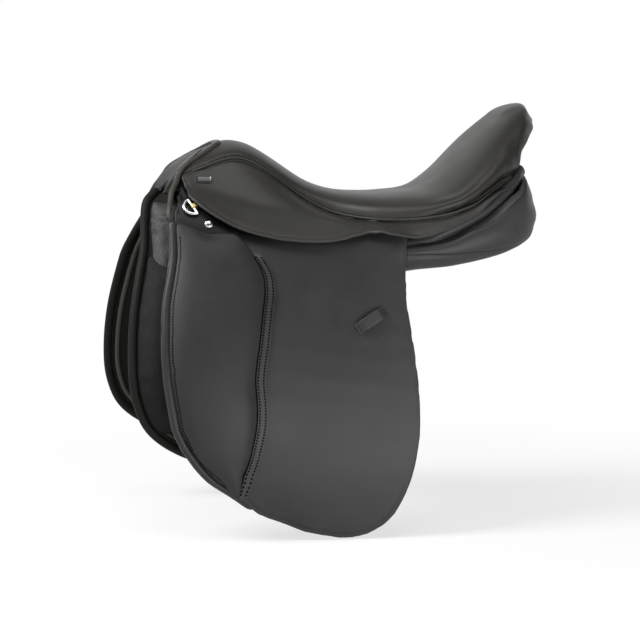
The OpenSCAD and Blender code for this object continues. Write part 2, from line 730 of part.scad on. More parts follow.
// Point of the skirt's outer face at row t and share w from the welt down
function skirt_at(t, w) =
  let (a = skirt_top(t), b = skirt_low(t), f = skirt_fold(t), k = smooth((t - lobe_end) / 1.2),
       m = lerp(f, lerp(a, b, 0.5) + [0, 1.5, 0.8], k))
  w < 0.5 ? lerp(a, m, 2 * w) : lerp(m, b, 2 * w - 1);
module skirt_part(t0, t1, w0, w1, rows, cols) {
  grid = [for (i = [0:rows]) [for (j = [0:cols])
    skirt_at(lerp(t0, t1, i / rows), lerp(w0, w1, j / cols))]];
  sheet(grid, [for (r = grid) [for (p = r) p - [0, skirt_wall, 0]]]);
}
skirt_cut = 0.014;
module skirt_root() {
  last = len(skirt_rows) - 1;
  color(black) {
    skirt_part(0, lobe_end, 0, 0.5 - skirt_cut, 12, 3);
    skirt_part(lobe_end + 2 * skirt_cut, last, 0, 1, 12, 2);
  }
}
module skirt() {
  color(black) skirt_part(0, lobe_end - 2 * skirt_cut, 0.5 + skirt_cut, 1, 12, 4);
}

// Blank name plates: a plain rounded plate at the front of each skirt
plate_row = 0.95;
plate_share = 0.22;
plate_t = 1;
module name_plates() {
  p = skirt_at(plate_row, plate_share);
  across = skirt_at(plate_row + 0.3, plate_share) - skirt_at(plate_row - 0.3, plate_share);
  down = skirt_at(plate_row, plate_share + 0.1) - skirt_at(plate_row, plate_share - 0.1);
  color(steel)
    both_sides() place(p + unit(cross(down, across)) * (clear + plate_seat), across, cross(down, across))
      linear_extrude(plate_t) square([plate_l, plate_h], center = true);
}
// The skirt is a little hollow under the plate
plate_seat = 0.35;

// Sweat flap: rows like the flap's, from the top of its ear to its bottom edge
sweat_rows = [
  [259, 105, 238, 98],
  [274, 90, 226, 76],
  [283, 62, 200, 44],
  [289, 38, 60, 16],
  [298, 5, -10, -30],
  [309, -50, -12, -85],
  [313, -105, -16, -135],
  [309, -150, -12, -180],
  [292, -188, 5, -212],
  [255, -215, 50, -236],
  [200, -234, 120, -242]
];
sweat_end = len(sweat_rows) - 1;
function room(x, z) =
  let (forward = smooth((x - 120) / 180), above = min(1, max(0, (z - fold_z(x)) / 60)))
  room_rear + (room_front - room_rear) * forward * (1 - 0.6 * above);
// Point on the sweat flap's outer face, moved out by d
function on_sweat(p, d = 0) = [p[0], flap_y(p[0], p[1]) - room(p[0], p[1]) + d, p[1]];
function sweat_at(u, c) =
  let (r = spline_at(sweat_rows, u)) lerp(front_edge(sweat_rows, u, sweat_piping_d), [r[2], r[3]], c);
function sweat_span(u) = norm(sweat_at(u, 0) - sweat_at(u, 1));

module sweat_flap() {
  grid = [for (i = [0:18]) [for (j = [0:10]) sweat_at(sweat_end * i / 18, pow(j / 10, 1.4))]];
  color(black)
    sheet([for (r = grid) [for (p = r) on_sweat(p, -sweat_t)]], [for (r = grid) [for (p = r) on_sweat(p)]]);
}
module sweat_piping() {
  path = [for (i = [0:26])
    on_sweat(front_edge(sweat_rows, sweat_end * i / 26, sweat_piping_d / 2 - clear), -sweat_t / 2)];
  color(black) both_sides() tube(path, sweat_piping_d - 3 * clear, 7);
}

// Padded pieces on the sweat flap's outer face, between two of its rows
module sweat_pad(u0, u1, front, rear, t, rows, cols) {
  grid = [for (i = [0:rows]) [for (j = [0:cols])
    let (u = lerp(u0, u1, i / rows), w = j / cols, c0 = 3 / sweat_span(u))
    [sweat_at(u, c0 + lerp(front, rear, w) / sweat_span(u)),
     t * (0.25 + 0.75 * pow(max(0, sin(180 * w)), 0.5) * pow(max(0, sin(180 * i / rows)), 0.35))]]];
  sheet([for (r = grid) [for (q = r) on_sweat(q[0], block_seat)]],
        [for (r = grid) [for (q = r) on_sweat(q[0], block_seat + q[1])]]);
}
block_seat = 0.8;
module knee_block() {
  color(grained) sweat_pad(3.45, 8.1, 0, 78, block_t, 11, 6);
}
module point_pocket() {
  color(grained) sweat_pad(0.75, 3.3, 0, 34, pocket_t, 7, 5);
}

// Girth straps: two hang on each side between sweat flap and flap, from webs over the tree
strap_x = [98, 46];
strap_top = 6;
function strap_mid(p) = on_sweat(p, room(p[0], p[1]) / 2);
function strap_start(x) = fold_z(x) + strap_top;
module girth_strap(x) {
  steps = 14;
  grid = [for (i = [0:steps]) [for (k = [-0.5, 0.5])
    [x + k * strap_w * (i == 0 || i == steps ? 0.45 : 1), strap_start(x) - strap_l * i / steps]]];
  color(black)
    difference() {
      sheet([for (r = grid) [for (p = r) strap_mid(p) - [0, strap_t / 2, 0]]],
            [for (r = grid) [for (p = r) strap_mid(p) + [0, strap_t / 2, 0]]]);
      for (n = [1:hole_count])
        translate(strap_mid([x, strap_start(x) - strap_l + n * hole_pitch]) - [0, 3 * strap_t, 0])
          rotate([-90, 0, 0]) cylinder(d = hole_d, h = 6 * strap_t, $fn = 16);
    }
}
web_reach = 0.5;
module girth_webs() {
  color(webbing)
    both_sides()
      for (x = strap_x) {
        low = strap_mid([x, strap_start(x)]) + [0, 0, 2 * clear];
        high = [x, lookup(x - 0.6 * strap_w, [for (p = side_rail) [p[0], p[1]]]) + rail_w / 2 + clear,
                lookup(x, [for (p = side_rail) [p[0], p[2]]]) - rail_t / 2];
        grid = [for (i = [0:5]) [for (k = [-1, 1])
          let (p = lerp(low, high, i / 5)) [x + k * strap_w * web_reach, p[1], p[2] + 5 * sin(36 * i)]]];
        sheet(grid, strip_between(grid, -web_t));
      }
}

// Panel: rounded sections from front to back, each with its centre, half thickness and slope.
// A section reaches out to the sweat flap, or as far as its own half length where the last value is not zero.
panel_rows = [
  [255, 62, 34, 8, 62, 32],
  [230, 55, 42, 12, 62, 44],
  [190, 51, 43, 12.5, 62, 48],
  [150, 50, 41, 12.5, 59, 50],
  [115, 56, 37, 13, 50, 56],
  [80, 69, 31, 14.5, 37, 0],
  [45, 79, 28, 16.5, 28, 0],
  [0, 86, 26.5, 17.5, 20, 0],
  [-50, 89, 32, 19, 16, 53],
  [-100, 90, 40, 22, 14, 51],
  [-150, 88, 50, 25, 12, 46],
  [-184, 83, 64, 26, 10, 39],
  [-202, 78, 76, 23, 8, 31],
  [-212, 74, 86, 12, 8, 16]
];
panel_corner = 0.62;
panel_gap = 5.5;
function panel_reach(r) =
  r[5] > 0 ? r[5]
           : (flap_y(r[0], r[2] - 25) - room(r[0], r[2] - 25) - sweat_t - panel_gap - r[1]) / cos(r[4]);
panel_sections = [for (r = panel_rows) [r[0], r[1], r[2], r[3] + flocking, r[4], panel_reach(r)]];
// Point of a section at angle a round it, moved out by d; 0 is the outer end and 90 the top
function panel_at(r, a, d = 0) =
  let (c = cos(a), s = sin(a), p = (r[5] + d) * sign(c) * pow(abs(c), panel_corner),
       q = (r[3] + d) * sign(s) * pow(abs(s), panel_corner))
  [r[0], r[1] + p * cos(r[4]) + q * sin(r[4]), r[2] - p * sin(r[4]) + q * cos(r[4])];
panel_sides = 16;
panel_steps = 26;
module panel() {
  color(black)
    loft([for (r = spline(panel_sections, panel_steps))
      [for (k = [0:panel_sides - 1]) panel_at(r, 360 * k / panel_sides)]]);
}

// Rear part of the panel, in rows of its sections, that carries the roll and the gusset
rear_rows = [7.8, 12.5];
function rear_section(t) = spline_at(panel_sections, lerp(rear_rows[0], rear_rows[1], t));

// Roll along the top of the rear panel, below the skirt
roll_angle = [54, 84];
// Share of the rear part that the roll follows
roll_end = 0.9;
module panel_roll() {
  path = [for (i = [0:14])
    let (a = lerp(roll_angle[0], roll_angle[1], pow(i / 14, 2)))
    panel_at(rear_section(roll_end * i / 14), a, roll_d / 2 + 2 * clear)];
  color(black) both_sides() tube(path, roll_d, 8, [0, 0.3, 1]);
}

// Gusset: the full leather wedge on the panel's outer end, between the roll and the lower seam
gusset_angles = [-34, 32];
gusset_seat = 1;
gusset_edge = 1.5;
module panel_gusset() {
  n = 10;
  m = 6;
  grid = [for (i = [0:n]) [for (j = [0:m])
    [rear_section(i / n), lerp(gusset_angles[0], gusset_angles[1], j / m),
     gusset_seat + gusset_edge + gusset_t * pow(sin(180 * j / m), 0.6) * smooth(4 * i / n)]]];
  color(grained)
    sheet([for (r = grid) [for (q = r) panel_at(q[0], q[1], gusset_seat)]],
          [for (r = grid) [for (q = r) panel_at(q[0], q[1], q[2])]]);
}

// Dee ring: a straight bar in a chape and a round bow, lying on the flap's ear in front of the skirt
dee_at = [230, 82.5];
dee_dir = [0.5, 0.8];
dee_lift = dee_wire / 2 + 1;
dee_r = dee_w / 2 + dee_wire / 2;
dee_normal = flap_normal(dee_at);
dee_axis = unit(on_flap(dee_at + dee_dir) - on_flap(dee_at - dee_dir));
dee_place = on_flap(dee_at, flap_t) + dee_normal * dee_lift;
module at_dee() {
  place(dee_place, dee_axis, dee_normal) children();
}
module dee_ring() {
  color(steel)
    at_dee() {
      rotate_extrude(angle = 180, $fn = 32) translate([dee_r, 0]) circle(d = dee_wire, $fn = 16);
      translate([-dee_r, 0, 0]) rotate([0, 90, 0]) cylinder(d = dee_wire, h = 2 * dee_r, $fn = 16);
      for (k = [-1, 1]) translate([k * dee_r, 0, 0]) sphere(d = dee_wire, $fn = 16);
    }
}
chape_w = 10;
chape_l = 5;
module dee_chapes() {
  wall = 0.8;
  color(black)
    both_sides() at_dee()
      difference() {
        union() {
          translate([-chape_w / 2, -chape_l, -dee_lift + clear])
            cube([chape_w, chape_l, dee_lift - clear + dee_wire / 2 + wall]);
          rotate([0, 90, 0]) cylinder(d = dee_wire + 2 * wall, h = chape_w, center = true, $fn = 32);
        }
        rotate([0, 90, 0]) cylinder(d = dee_wire + 2 * pin_clear, h = chape_w + 2, center = true, $fn = 48);
      }
}

// Saddle nails: a domed head on the flap's top, below the dee
nail_at = [212, 63];
nail_h = 3;
module saddle_nails() {
  color(steel)
    both_sides()
      place(on_flap(nail_at, flap_t) + flap_normal(nail_at) * nail_lift, [1, 0, 0], flap_normal(nail_at))
      rotate_extrude($fn = 24)
        polygon([[0, 0], [nail_d / 2, 0], [nail_d / 2, nail_h * 0.3], [nail_d * 0.38, nail_h * 0.75],
                 [nail_d * 0.2, nail_h], [0, nail_h]]);
}
nail_lift = 0.4;

seat_cover();
seat_foam();
seat_welt();  // seat_welt_near
off_side() seat_welt();  // seat_welt_off
seat_webs();
cross_webs();
tree_frame();
tree_head();
head_plate();
gullet_plate();
tree_springs();
tree_rivets();
cantle_back();
pommel_facing();
head_piping();
skirt_root();  // skirt_root_near
off_side() skirt_root();  // skirt_root_off
skirt();  // skirt_near
off_side() skirt();  // skirt_off
name_plates();
flap_root();  // flap_root_near
off_side() flap_root();  // flap_root_off
flap();  // flap_near
off_side() flap();  // flap_off
knee_pad_foam();  // knee_pad_foam_near
off_side() knee_pad_foam();  // knee_pad_foam_off
knee_pad_cover();  // knee_pad_cover_near
off_side() knee_pad_cover();  // knee_pad_cover_off
pad_strip();  // pad_strip_near
off_side() pad_strip();  // pad_strip_off
flap_piping();  // flap_piping_near
off_side() flap_piping();  // flap_piping_off
keeper();  // keeper_near
off_side() keeper();  // keeper_off
sweat_flap();  // sweat_flap_near
off_side() sweat_flap();  // sweat_flap_off
sweat_piping();
knee_block();  // knee_block_near
off_side() knee_block();  // knee_block_off
point_pocket();  // point_pocket_near
off_side() point_pocket();  // point_pocket_off
girth_strap(strap_x[0]);  // girth_strap_front_near
girth_strap(strap_x[1]);  // girth_strap_rear_near
off_side() girth_strap(strap_x[0]);  // girth_strap_front_off
off_side() girth_strap(strap_x[1]);  // girth_strap_rear_off
girth_webs();
panel();  // panel_near
off_side() panel();  // panel_off
panel_gusset();  // panel_gusset_near
off_side() panel_gusset();  // panel_gusset_off
panel_roll();
stirrup_bar();  // stirrup_bar_near
off_side() stirrup_bar();  // stirrup_bar_off
bar_catch();  // bar_catch_near
off_side() bar_catch();  // bar_catch_off
dee_ring();  // dee_ring_near
off_side() dee_ring();  // dee_ring_off
dee_chapes();
saddle_nails();
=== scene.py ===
"""Looks of a black dressage saddle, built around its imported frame.

Everything is in metres, in the frame's own axes: +X to the horse's head, +Y to the near side, +Z up.
Near-side pieces are modelled once, and their mirror images stand on the off side.
"""
import json
import math

import bmesh
import bpy
import numpy as np
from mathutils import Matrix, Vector, noise
from mathutils.bvhtree import BVHTree
from mathutils.geometry import delaunay_2d_cdt


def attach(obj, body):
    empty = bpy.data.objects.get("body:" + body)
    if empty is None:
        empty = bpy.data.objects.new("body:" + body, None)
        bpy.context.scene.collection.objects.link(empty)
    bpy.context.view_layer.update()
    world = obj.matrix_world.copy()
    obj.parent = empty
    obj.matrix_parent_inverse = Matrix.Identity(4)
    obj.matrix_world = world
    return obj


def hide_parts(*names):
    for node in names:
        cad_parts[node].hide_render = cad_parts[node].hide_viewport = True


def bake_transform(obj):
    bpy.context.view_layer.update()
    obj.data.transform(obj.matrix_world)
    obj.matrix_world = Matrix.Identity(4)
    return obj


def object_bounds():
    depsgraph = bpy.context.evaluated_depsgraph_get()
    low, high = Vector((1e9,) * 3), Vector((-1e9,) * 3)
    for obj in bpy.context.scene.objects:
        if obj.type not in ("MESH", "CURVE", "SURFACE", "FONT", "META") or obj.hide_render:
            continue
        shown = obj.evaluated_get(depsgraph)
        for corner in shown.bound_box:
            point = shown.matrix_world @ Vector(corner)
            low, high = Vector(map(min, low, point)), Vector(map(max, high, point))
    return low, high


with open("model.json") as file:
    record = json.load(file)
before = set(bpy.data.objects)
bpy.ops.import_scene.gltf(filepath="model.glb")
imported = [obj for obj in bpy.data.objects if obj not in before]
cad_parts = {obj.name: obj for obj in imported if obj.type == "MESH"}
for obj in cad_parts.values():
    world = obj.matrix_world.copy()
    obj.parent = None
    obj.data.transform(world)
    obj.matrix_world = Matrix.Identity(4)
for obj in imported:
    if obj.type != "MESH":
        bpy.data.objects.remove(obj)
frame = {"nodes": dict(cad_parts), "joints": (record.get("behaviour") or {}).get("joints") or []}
cad_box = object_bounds()
NODES = frame["nodes"]
JOINTS = {joint["name"]: joint for joint in frame["joints"]}
MM = 0.001
OUT = Vector((0, 1, 0))
UP = Vector((0, 0, 1))
BACK = Vector((-1, 0, 0))

# Camera at the photograph's viewing angle
CAMERA_AT = Vector((0.643, 2.796, 0.183))
CAMERA_TO = Vector((0.0497, 0.0044, -0.0667))
LENS_MM = 125.0
SENSOR_MM = 36.0

# Stage: levels of the surround, where 1 is white, power of the lamps, and the floor
SURROUND_LIGHT = 0.15
CEILING = 0.25
CAMERA_SIDE = 0.45
KEY_WATTS = 24
FRONT_WATTS = 60
LOW_WATTS = 16
REAR_WATTS = 6
WHITE = (1, 1, 1, 1)
FLOOR_HALF = 6.0
FLOOR_GAP = 2 * MM

# Leather colours and gloss
LEATHER_GLOSS = 0.28
DULL_GLOSS = 0.12
# Near-black colour of the painted shade on the flap's top, under the skirt
PAINTED_SHADE_BLACK = (0.002, 0.002, 0.002, 1)
WORN = (0.13, 0.12, 0.105, 1)

# Steps and sizes of the meshes
WELD = 0.01 * MM
FIT_ROUNDS = 4
FIT_STEP = 0.9
SHEET_STEP = 4 * MM
SHEET_ROW = 0.866 * SHEET_STEP
SHEET_GAP = 7 * MM
BRIDGE_ROUNDS = 300
CAST_FROM = 0.3
EDGE_STEP = 2.5 * MM
EDGE_ROUND = 1.5 * MM
CREASE_W = 0.9 * MM
CORNER_TURN = 42
OUTER_LIMIT = 0.2
CORD_SIDES = 10
NAIL_SIDES = 24
STITCH_SIDES = 6
STITCH_RINGS = ((0.0, 0.35), (0.16, 0.85), (0.5, 1.0), (0.84, 0.85), (1.0, 0.35))

# Length, gap and radius of the stitches
CANTLE_STITCH = (3.0 * MM, 1.3 * MM, 0.45 * MM)
GUSSET_STITCH = (2.4 * MM, 1.2 * MM, 0.45 * MM)
STRIP_STITCH = (2.2 * MM, 1.5 * MM, 1.15 * MM)
PAD_STITCH = (2.2 * MM, 1.4 * MM, 0.9 * MM)
KEEPER_STITCH = (1.6 * MM, 0.8 * MM, 0.4 * MM)


# Shader nodes

def wire(tree, node, inputs):
    """Links the inputs of a node that are given sockets, and sets the others."""
    for key, value in inputs.items():
        if isinstance(value, bpy.types.NodeSocket):
            tree.links.new(value, node.inputs[key])
        else:
            node.inputs[key].default_value = value


def adder(tree):
    """A function that adds a node to a tree and gives back one of its outputs."""
    def add(kind, inputs, output=0, **settings):
        node = tree.nodes.new("ShaderNode" + kind)
        for key, value in settings.items():
            setattr(node, key, value)
        wire(tree, node, inputs)
        return node.outputs[output]

    return add


def remap(add, value, start=0.0, end=1.0, low=0.0, high=1.0, kind="LINEAR"):
    """Low up to start, high from end on, and between them by the kind of change."""
    inputs = {"Value": value, "From Min": start, "From Max": end, "To Min": low, "To Max": high}
    return add("MapRange", inputs, interpolation_type=kind)


def ramp(add, value, low, high, at=(0.0, 1.0)):
    """A colour between two, which are reached at two values."""
    output = add("ValToRGB", {"Fac": value})
    for stop, colour, position in zip(output.node.color_ramp.elements, (low, high), at):
        stop.position = position
        stop.color = colour
    return output


def product(add, first, second):
    return add("Math", {0: first, 1: second}, operation="MULTIPLY")


def seen_rays(add):
    """1 for rays that show the surround itself: from the camera, off gloss and through glass."""
    path = add("LightPath", {}).node
    seen = path.outputs["Is Camera Ray"]
    for ray in ("Is Glossy Ray", "Is Transmission Ray"):
        seen = add("Math", {0: seen, 1: path.outputs[ray]}, operation="MAXIMUM")
    return seen


def shader(name):
    """A new material's object coordinates, a function that adds its nodes and one that sets its surface."""
    mat = bpy.data.materials.new(name)
    mat.use_nodes = True
    tree = mat.node_tree
    add = adder(tree)

    def finish(inputs):
        wire(tree, tree.nodes["Principled BSDF"], inputs)
        return mat

    return add("TexCoord", {}, "Object"), add, finish


def shade(colour, factor):
    return tuple(c * factor for c in colour) + (1,)


# Camera, stage and light

def aimed(name, data, at, to):
    """An object at one place that looks towards another."""
    obj = bpy.data.objects.new(name, data)
    obj.location = at
    obj.rotation_mode = "QUATERNION"
    obj.rotation_quaternion = (Vector(to) - Vector(at)).to_track_quat("-Z", "Y")
    bpy.context.scene.collection.objects.link(obj)
    return obj


def add_camera():
    data = bpy.data.cameras.new("camera")
    data.lens = LENS_MM
    data.sensor_width = SENSOR_MM
    bpy.context.scene.camera = aimed("camera", data, CAMERA_AT, CAMERA_TO)


def add_lamp(name, at, size, watts, to=(0, 0, 0)):
    data = bpy.data.lights.new(name, "AREA")
    data.shape = "RECTANGLE"
    data.size, data.size_y = size
    data.energy = watts
    aimed(name, data, at, to)


def add_surround():
    """A white surround that is dimmer overhead and on the camera's side."""
    world = bpy.data.worlds.new("surround")
    world.use_nodes = True
    bpy.context.scene.world = world
    tree = world.node_tree
    add = adder(tree)
    heading = add("SeparateXYZ", {"Vector": add("TexCoord", {}, "Generated")}).node.outputs
    overhead = remap(add, heading["Z"], 0.15, 0.60, 1.0, CEILING, "SMOOTHSTEP")
    beside = remap(add, heading["Y"], 0.0, 0.6, 1.0, CAMERA_SIDE, "SMOOTHSTEP")
    level = remap(add, seen_rays(add), low=SURROUND_LIGHT, high=product(add, overhead, beside))
    wire(tree, tree.nodes["Background"], {"Color": WHITE, "Strength": level})


def add_floor():
    """A plain pale floor that keeps the object's shadow and runs out to white."""
    z = cad_box[0].z - FLOOR_GAP
    corners = [(x * FLOOR_HALF, y * FLOOR_HALF, z) for x, y in ((-1, -1), (1, -1), (1, 1), (-1, 1))]
    mesh = bpy.data.meshes.new("floor")
    mesh.from_pydata(corners, [], [(0, 1, 2, 3)])
    floor = bpy.data.objects.new("floor", mesh)
    bpy.context.scene.collection.objects.link(floor)
    coords, add, finish = shader("pale_floor")
    speck = add("TexNoise", {"Vector": coords, "Scale": 3.0, "Detail": 3.0})
    tint = ramp(add, speck, (0.86, 0.86, 0.86, 1), (0.90, 0.90, 0.90, 1))
    mat = finish({"Base Color": tint, "Roughness": 0.9, "Specular IOR Level": 0.1})
    away = add("VectorMath", {0: coords}, "Value", operation="LENGTH")
    white = product(add, seen_rays(add), remap(add, away, 0.30, 1.1, 0.70, 1.0, "SMOOTHSTEP"))
    glow = add("Emission", {"Color": WHITE, "Strength": 1.0})
    nodes = mat.node_tree.nodes
    mixed = add("MixShader", {0: white, 1: nodes["Principled BSDF"].outputs[0], 2: glow})
    wire(mat.node_tree, nodes["Material Output"], {"Surface": mixed})
    mesh.materials.append(mat)


def add_stage():
    """A pale floor in a white surround, and soft lamps."""
    bpy.context.scene.view_settings.view_transform = "Standard"
    add_surround()
    add_floor()
    add_lamp("key", (0.2, 1.2, 2.4), (1.5, 1.3), KEY_WATTS)
    add_lamp("front", (1.6, 0.5, 1.5), (0.9, 0.9), FRONT_WATTS)
    add_lamp("low", (-0.5, 1.7, -0.22), (1.2, 0.18), LOW_WATTS, to=(0.0, 0.15, -0.30))
    add_lamp("rear", (-0.2, -2.2, 1.6), (3.0, 1.8), REAR_WATTS)


# Materials

def painted_under_skirt_shade(add, coords, skin):
    """Painted shade: darkens the flap's top towards near black where it lies under the skirt."""
    place = add("SeparateXYZ", {"Vector": coords}).node.outputs
    high = remap(add, place["Z"], 0.030, 0.046, kind="SMOOTHSTEP")
    ahead = remap(add, place["X"], 0.0, 0.07, kind="SMOOTHSTEP")
    return add("MixRGB", {"Fac": product(add, high, ahead), "Color1": skin, "Color2": PAINTED_SHADE_BLACK})


def leather(name, colour, rough, grain_mm, depth_mm, wear=0.0, level=LEATHER_GLOSS, painted_top_shade=False):
    """Black leather: clouded colour, a pebbled grain of that size and depth, worn edges, and where asked
    painted shade on the top.
    """
    coords, add, finish = shader(name)
    grain = grain_mm * MM
    cloud = add("TexNoise", {"Vector": coords, "Scale": 13.0, "Detail": 6.0, "Roughness": 0.62})
    pores = add("TexNoise", {"Vector": coords, "Scale": 0.9 / grain, "Detail": 4.0, "Roughness": 0.7})
    cells = add("TexVoronoi", {"Vector": coords, "Scale": 1 / grain}, feature="DISTANCE_TO_EDGE")
    pebble = remap(add, cells, end=0.22)
    height = add("Math", {0: pebble, 1: pores}, operation="ADD")
    tint = ramp(add, cloud, shade(colour, 0.80), shade(colour, 1.18), (0.30, 0.72))
    dark = add("MixRGB", {"Fac": 0.35, "Color1": tint, "Color2": pebble}, blend_type="MULTIPLY")
    bare = remap(add, add("NewGeometry", {}, "Pointiness"), 0.52, 0.62, high=wear)
    skin = add("MixRGB", {"Fac": product(add, bare, cloud), "Color1": dark, "Color2": WORN})
    return finish({
        # Painted shade under the skirt, on the leathers that ask for it
        "Base Color": painted_under_skirt_shade(add, coords, skin) if painted_top_shade else skin,
        "Roughness": remap(add, cloud, 0.3, 0.7, rough - 0.05, rough + 0.06),
        "Specular IOR Level": level,
        "Normal": add("Bump", {"Height": height, "Strength": 0.55, "Distance": depth_mm * MM}),
    })


def metal(name, colour, rough, stretch):
    """Bare metal with fine marks, drawn out along X by the stretch."""
    coords, add, finish = shader(name)
    drawn = add("Mapping", {"Vector": coords, "Scale": (1 / stretch, 1, 1)})
    marks = add("TexNoise", {"Vector": drawn, "Scale": 900.0, "Detail": 4.0})
    return finish({
        "Base Color": ramp(add, marks, shade(colour, 0.86), shade(colour, 1.06)),
        "Roughness": remap(add, marks, low=rough * 0.7, high=rough * 1.4),
        "Metallic": 1.0,
    })


def beech_wood(name):
    """Layered beech with its grain along X."""
    coords, add, finish = shader(name)
    drawn = add("Mapping", {"Vector": coords, "Scale": (0.12, 1, 1)})
    grain = add("TexNoise", {"Vector": drawn, "Scale": 260.0, "Detail": 5.0})
    layers = add("TexWave", {"Vector": coords, "Scale": 55.0, "Distortion": 1.5, "Detail": 2.0}, "Fac",
                 bands_direction="Z")
    both = add("MixRGB", {"Fac": 0.35, "Color1": grain, "Color2": layers})
    return finish({
        "Base Color": ramp(add, both, (0.42, 0.27, 0.14, 1), (0.70, 0.52, 0.33, 1)),
        "Roughness": 0.55,
        "Normal": add("Bump", {"Height": grain, "Strength": 0.3, "Distance": 0.2 * MM}),
    })


def woven(name, colour, pitch):
    """A plain weave: ribs along X over ribs across."""
    coords, add, finish = shader(name)
    ribs = {"Vector": coords, "Scale": 0.16 / pitch, "Distortion": 0.6}
    warp, weft = (add("TexWave", ribs, "Fac", bands_direction=axis) for axis in ("X", "Y"))
    cloth = product(add, warp, weft)
    soil = add("TexNoise", {"Vector": coords, "Scale": 40.0, "Detail": 4.0})
    soiled = add("Math", {0: cloth, 1: soil}, operation="ADD")
    return finish({
        "Base Color": ramp(add, soiled, shade(colour, 0.55), shade(colour, 1.0)),
        "Roughness": 0.85,
        "Specular IOR Level": 0.05,
        "Normal": add("Bump", {"Height": cloth, "Strength": 0.8, "Distance": 0.4 * MM}),
    })


def open_foam(name, colour):
    """Foam with open cells."""
    coords, add, finish = shader(name)
    cells = add("TexVoronoi", {"Vector": coords, "Scale": 700.0})
    return finish({
        "Base Color": ramp(add, cells, shade(colour, 0.62), shade(colour, 1.0)),
        "Roughness": 0.95,
        "Normal": add("Bump", {"Height": cells, "Strength": 0.7, "Distance": 0.5 * MM}),
    })


# Colour, roughness, grain and its depth in mm, wear of the edges, gloss, and whether the top gets painted
# shade under the skirt
LEATHERS = {
    # The flap's leather carries painted shade on its top, under the skirt
    "flap_leather": ((0.023, 0.023, 0.023), 0.44, 0.9, 0.05, 0.5, LEATHER_GLOSS, True),
    "skirt_leather": ((0.024, 0.023, 0.021), 0.43, 0.9, 0.05, 0.5),
    "seat_leather": ((0.022, 0.021, 0.019), 0.40, 1.1, 0.06),
    "pad_leather": ((0.019, 0.019, 0.019), 0.46, 1.3, 0.10),
    "strip_leather": ((0.030, 0.030, 0.029), 0.44, 0.9, 0.05, 0.5),
    "edge_leather": ((0.020, 0.020, 0.019), 0.44, 1.0, 0.05, 0.5),
    "grain_leather": ((0.036, 0.036, 0.036), 0.42, 2.4, 0.40),
    # Panel leather: lighter than the flap's leather as painted light on the gusset and the roll
    "panel_leather": ((0.034, 0.034, 0.034), 0.42, 1.2, 0.08),
    # Sweat flaps and linings: the panel leather darkened as painted shade, where the sweat flaps lie in
    # shadow
    "sweat_leather_painted_shade": ((0.008, 0.008, 0.007), 0.55, 1.2, 0.08, 0.0, DULL_GLOSS),
    # The knee block's grain leather, darkened as painted shade where the block lies in shadow between flap
    # and sweat flap
    "block_leather_painted_shade": ((0.008, 0.008, 0.008), 0.50, 2.4, 0.40, 0.0, DULL_GLOSS),
    "strap_leather": ((0.030, 0.030, 0.029), 0.44, 0.9, 0.06, 0.6),
    "piping_leather": ((0.030, 0.026, 0.022), 0.38, 1.0, 0.05, 0.8),
}


# The maker of each other material, and what it takes
OTHERS = {
    "foam": (open_foam, (0.85, 0.84, 0.78)),
    "webbing": (woven, (0.80, 0.76, 0.66), 1.4 * MM),
    "beech": (beech_wood,),
    "steel": (metal, (0.62, 0.62, 0.64), 0.32, 12),
    "chrome": (metal, (0.70, 0.70, 0.71), 0.12, 1),
    "brass": (metal, (0.40, 0.31, 0.15), 0.3, 2),
    "gunmetal": (metal, (0.10, 0.10, 0.10), 0.35, 4),
    "thread": (woven, (0.002, 0.002, 0.002), 0.35 * MM),
}


def make_materials():
    made = {name: leather(name, *look) for name, look in LEATHERS.items()}
    made.update({name: maker(name, *look) for name, (maker, *look) in OTHERS.items()})
    return made


# Meshes

def make_object(name, bm, slot):
    """An object from a bmesh, smooth-shaded, with the material of a slot."""
    bmesh.ops.recalc_face_normals(bm, faces=bm.faces)
    mesh = bpy.data.meshes.new(name)
    bm.to_mesh(mesh)
    bm.free()
    mesh.materials.append(MATERIALS[slot])
    mesh.shade_smooth()
    obj = bpy.data.objects.new(name, mesh)
    bpy.context.scene.collection.objects.link(obj)
    return obj


def read(items, key):
    """A three-number value of each mesh item, as rows."""
    values = np.empty(len(items) * 3)
    items.foreach_get(key, values)
    return values.reshape(-1, 3)


def places(obj):
    return read(obj.data.vertices, "co")


def put(obj, co):
    """Moves an object's vertices to their places in co."""
    obj.data.vertices.foreach_set("co", co.ravel())
    obj.data.update()
    return obj


def smoothed_mesh(obj, levels):
    """An object's subdivided mesh; its first vertices are those of the object."""
    modifier = obj.modifiers.new("smooth", "SUBSURF")
    modifier.levels = levels
    bpy.context.view_layer.update()
    evaluated = obj.evaluated_get(bpy.context.evaluated_depsgraph_get())
    mesh = bpy.data.meshes.new_from_object(evaluated)
    obj.modifiers.clear()
    return mesh


def subdivide(obj, levels):
    """Smooths an object with a surface that still goes through its vertices."""
    aim = places(obj)
    held = aim.copy()
    for _ in range(FIT_ROUNDS):
        smooth = smoothed_mesh(obj, 1)
        held += FIT_STEP * (aim - read(smooth.vertices, "co")[:len(aim)])
        bpy.data.meshes.remove(smooth)
        put(obj, held)
    obj.data = smoothed_mesh(obj, levels)
    obj.data.shade_smooth()
    return obj


def welded(nodes):
    """The solids of CAD nodes as one welded mesh."""
    bm = bmesh.new()
    for name in nodes:
        bm.from_mesh(NODES[name].data)
    bmesh.ops.remove_doubles(bm, verts=bm.verts, dist=WELD)
    bm.normal_update()
    return bm


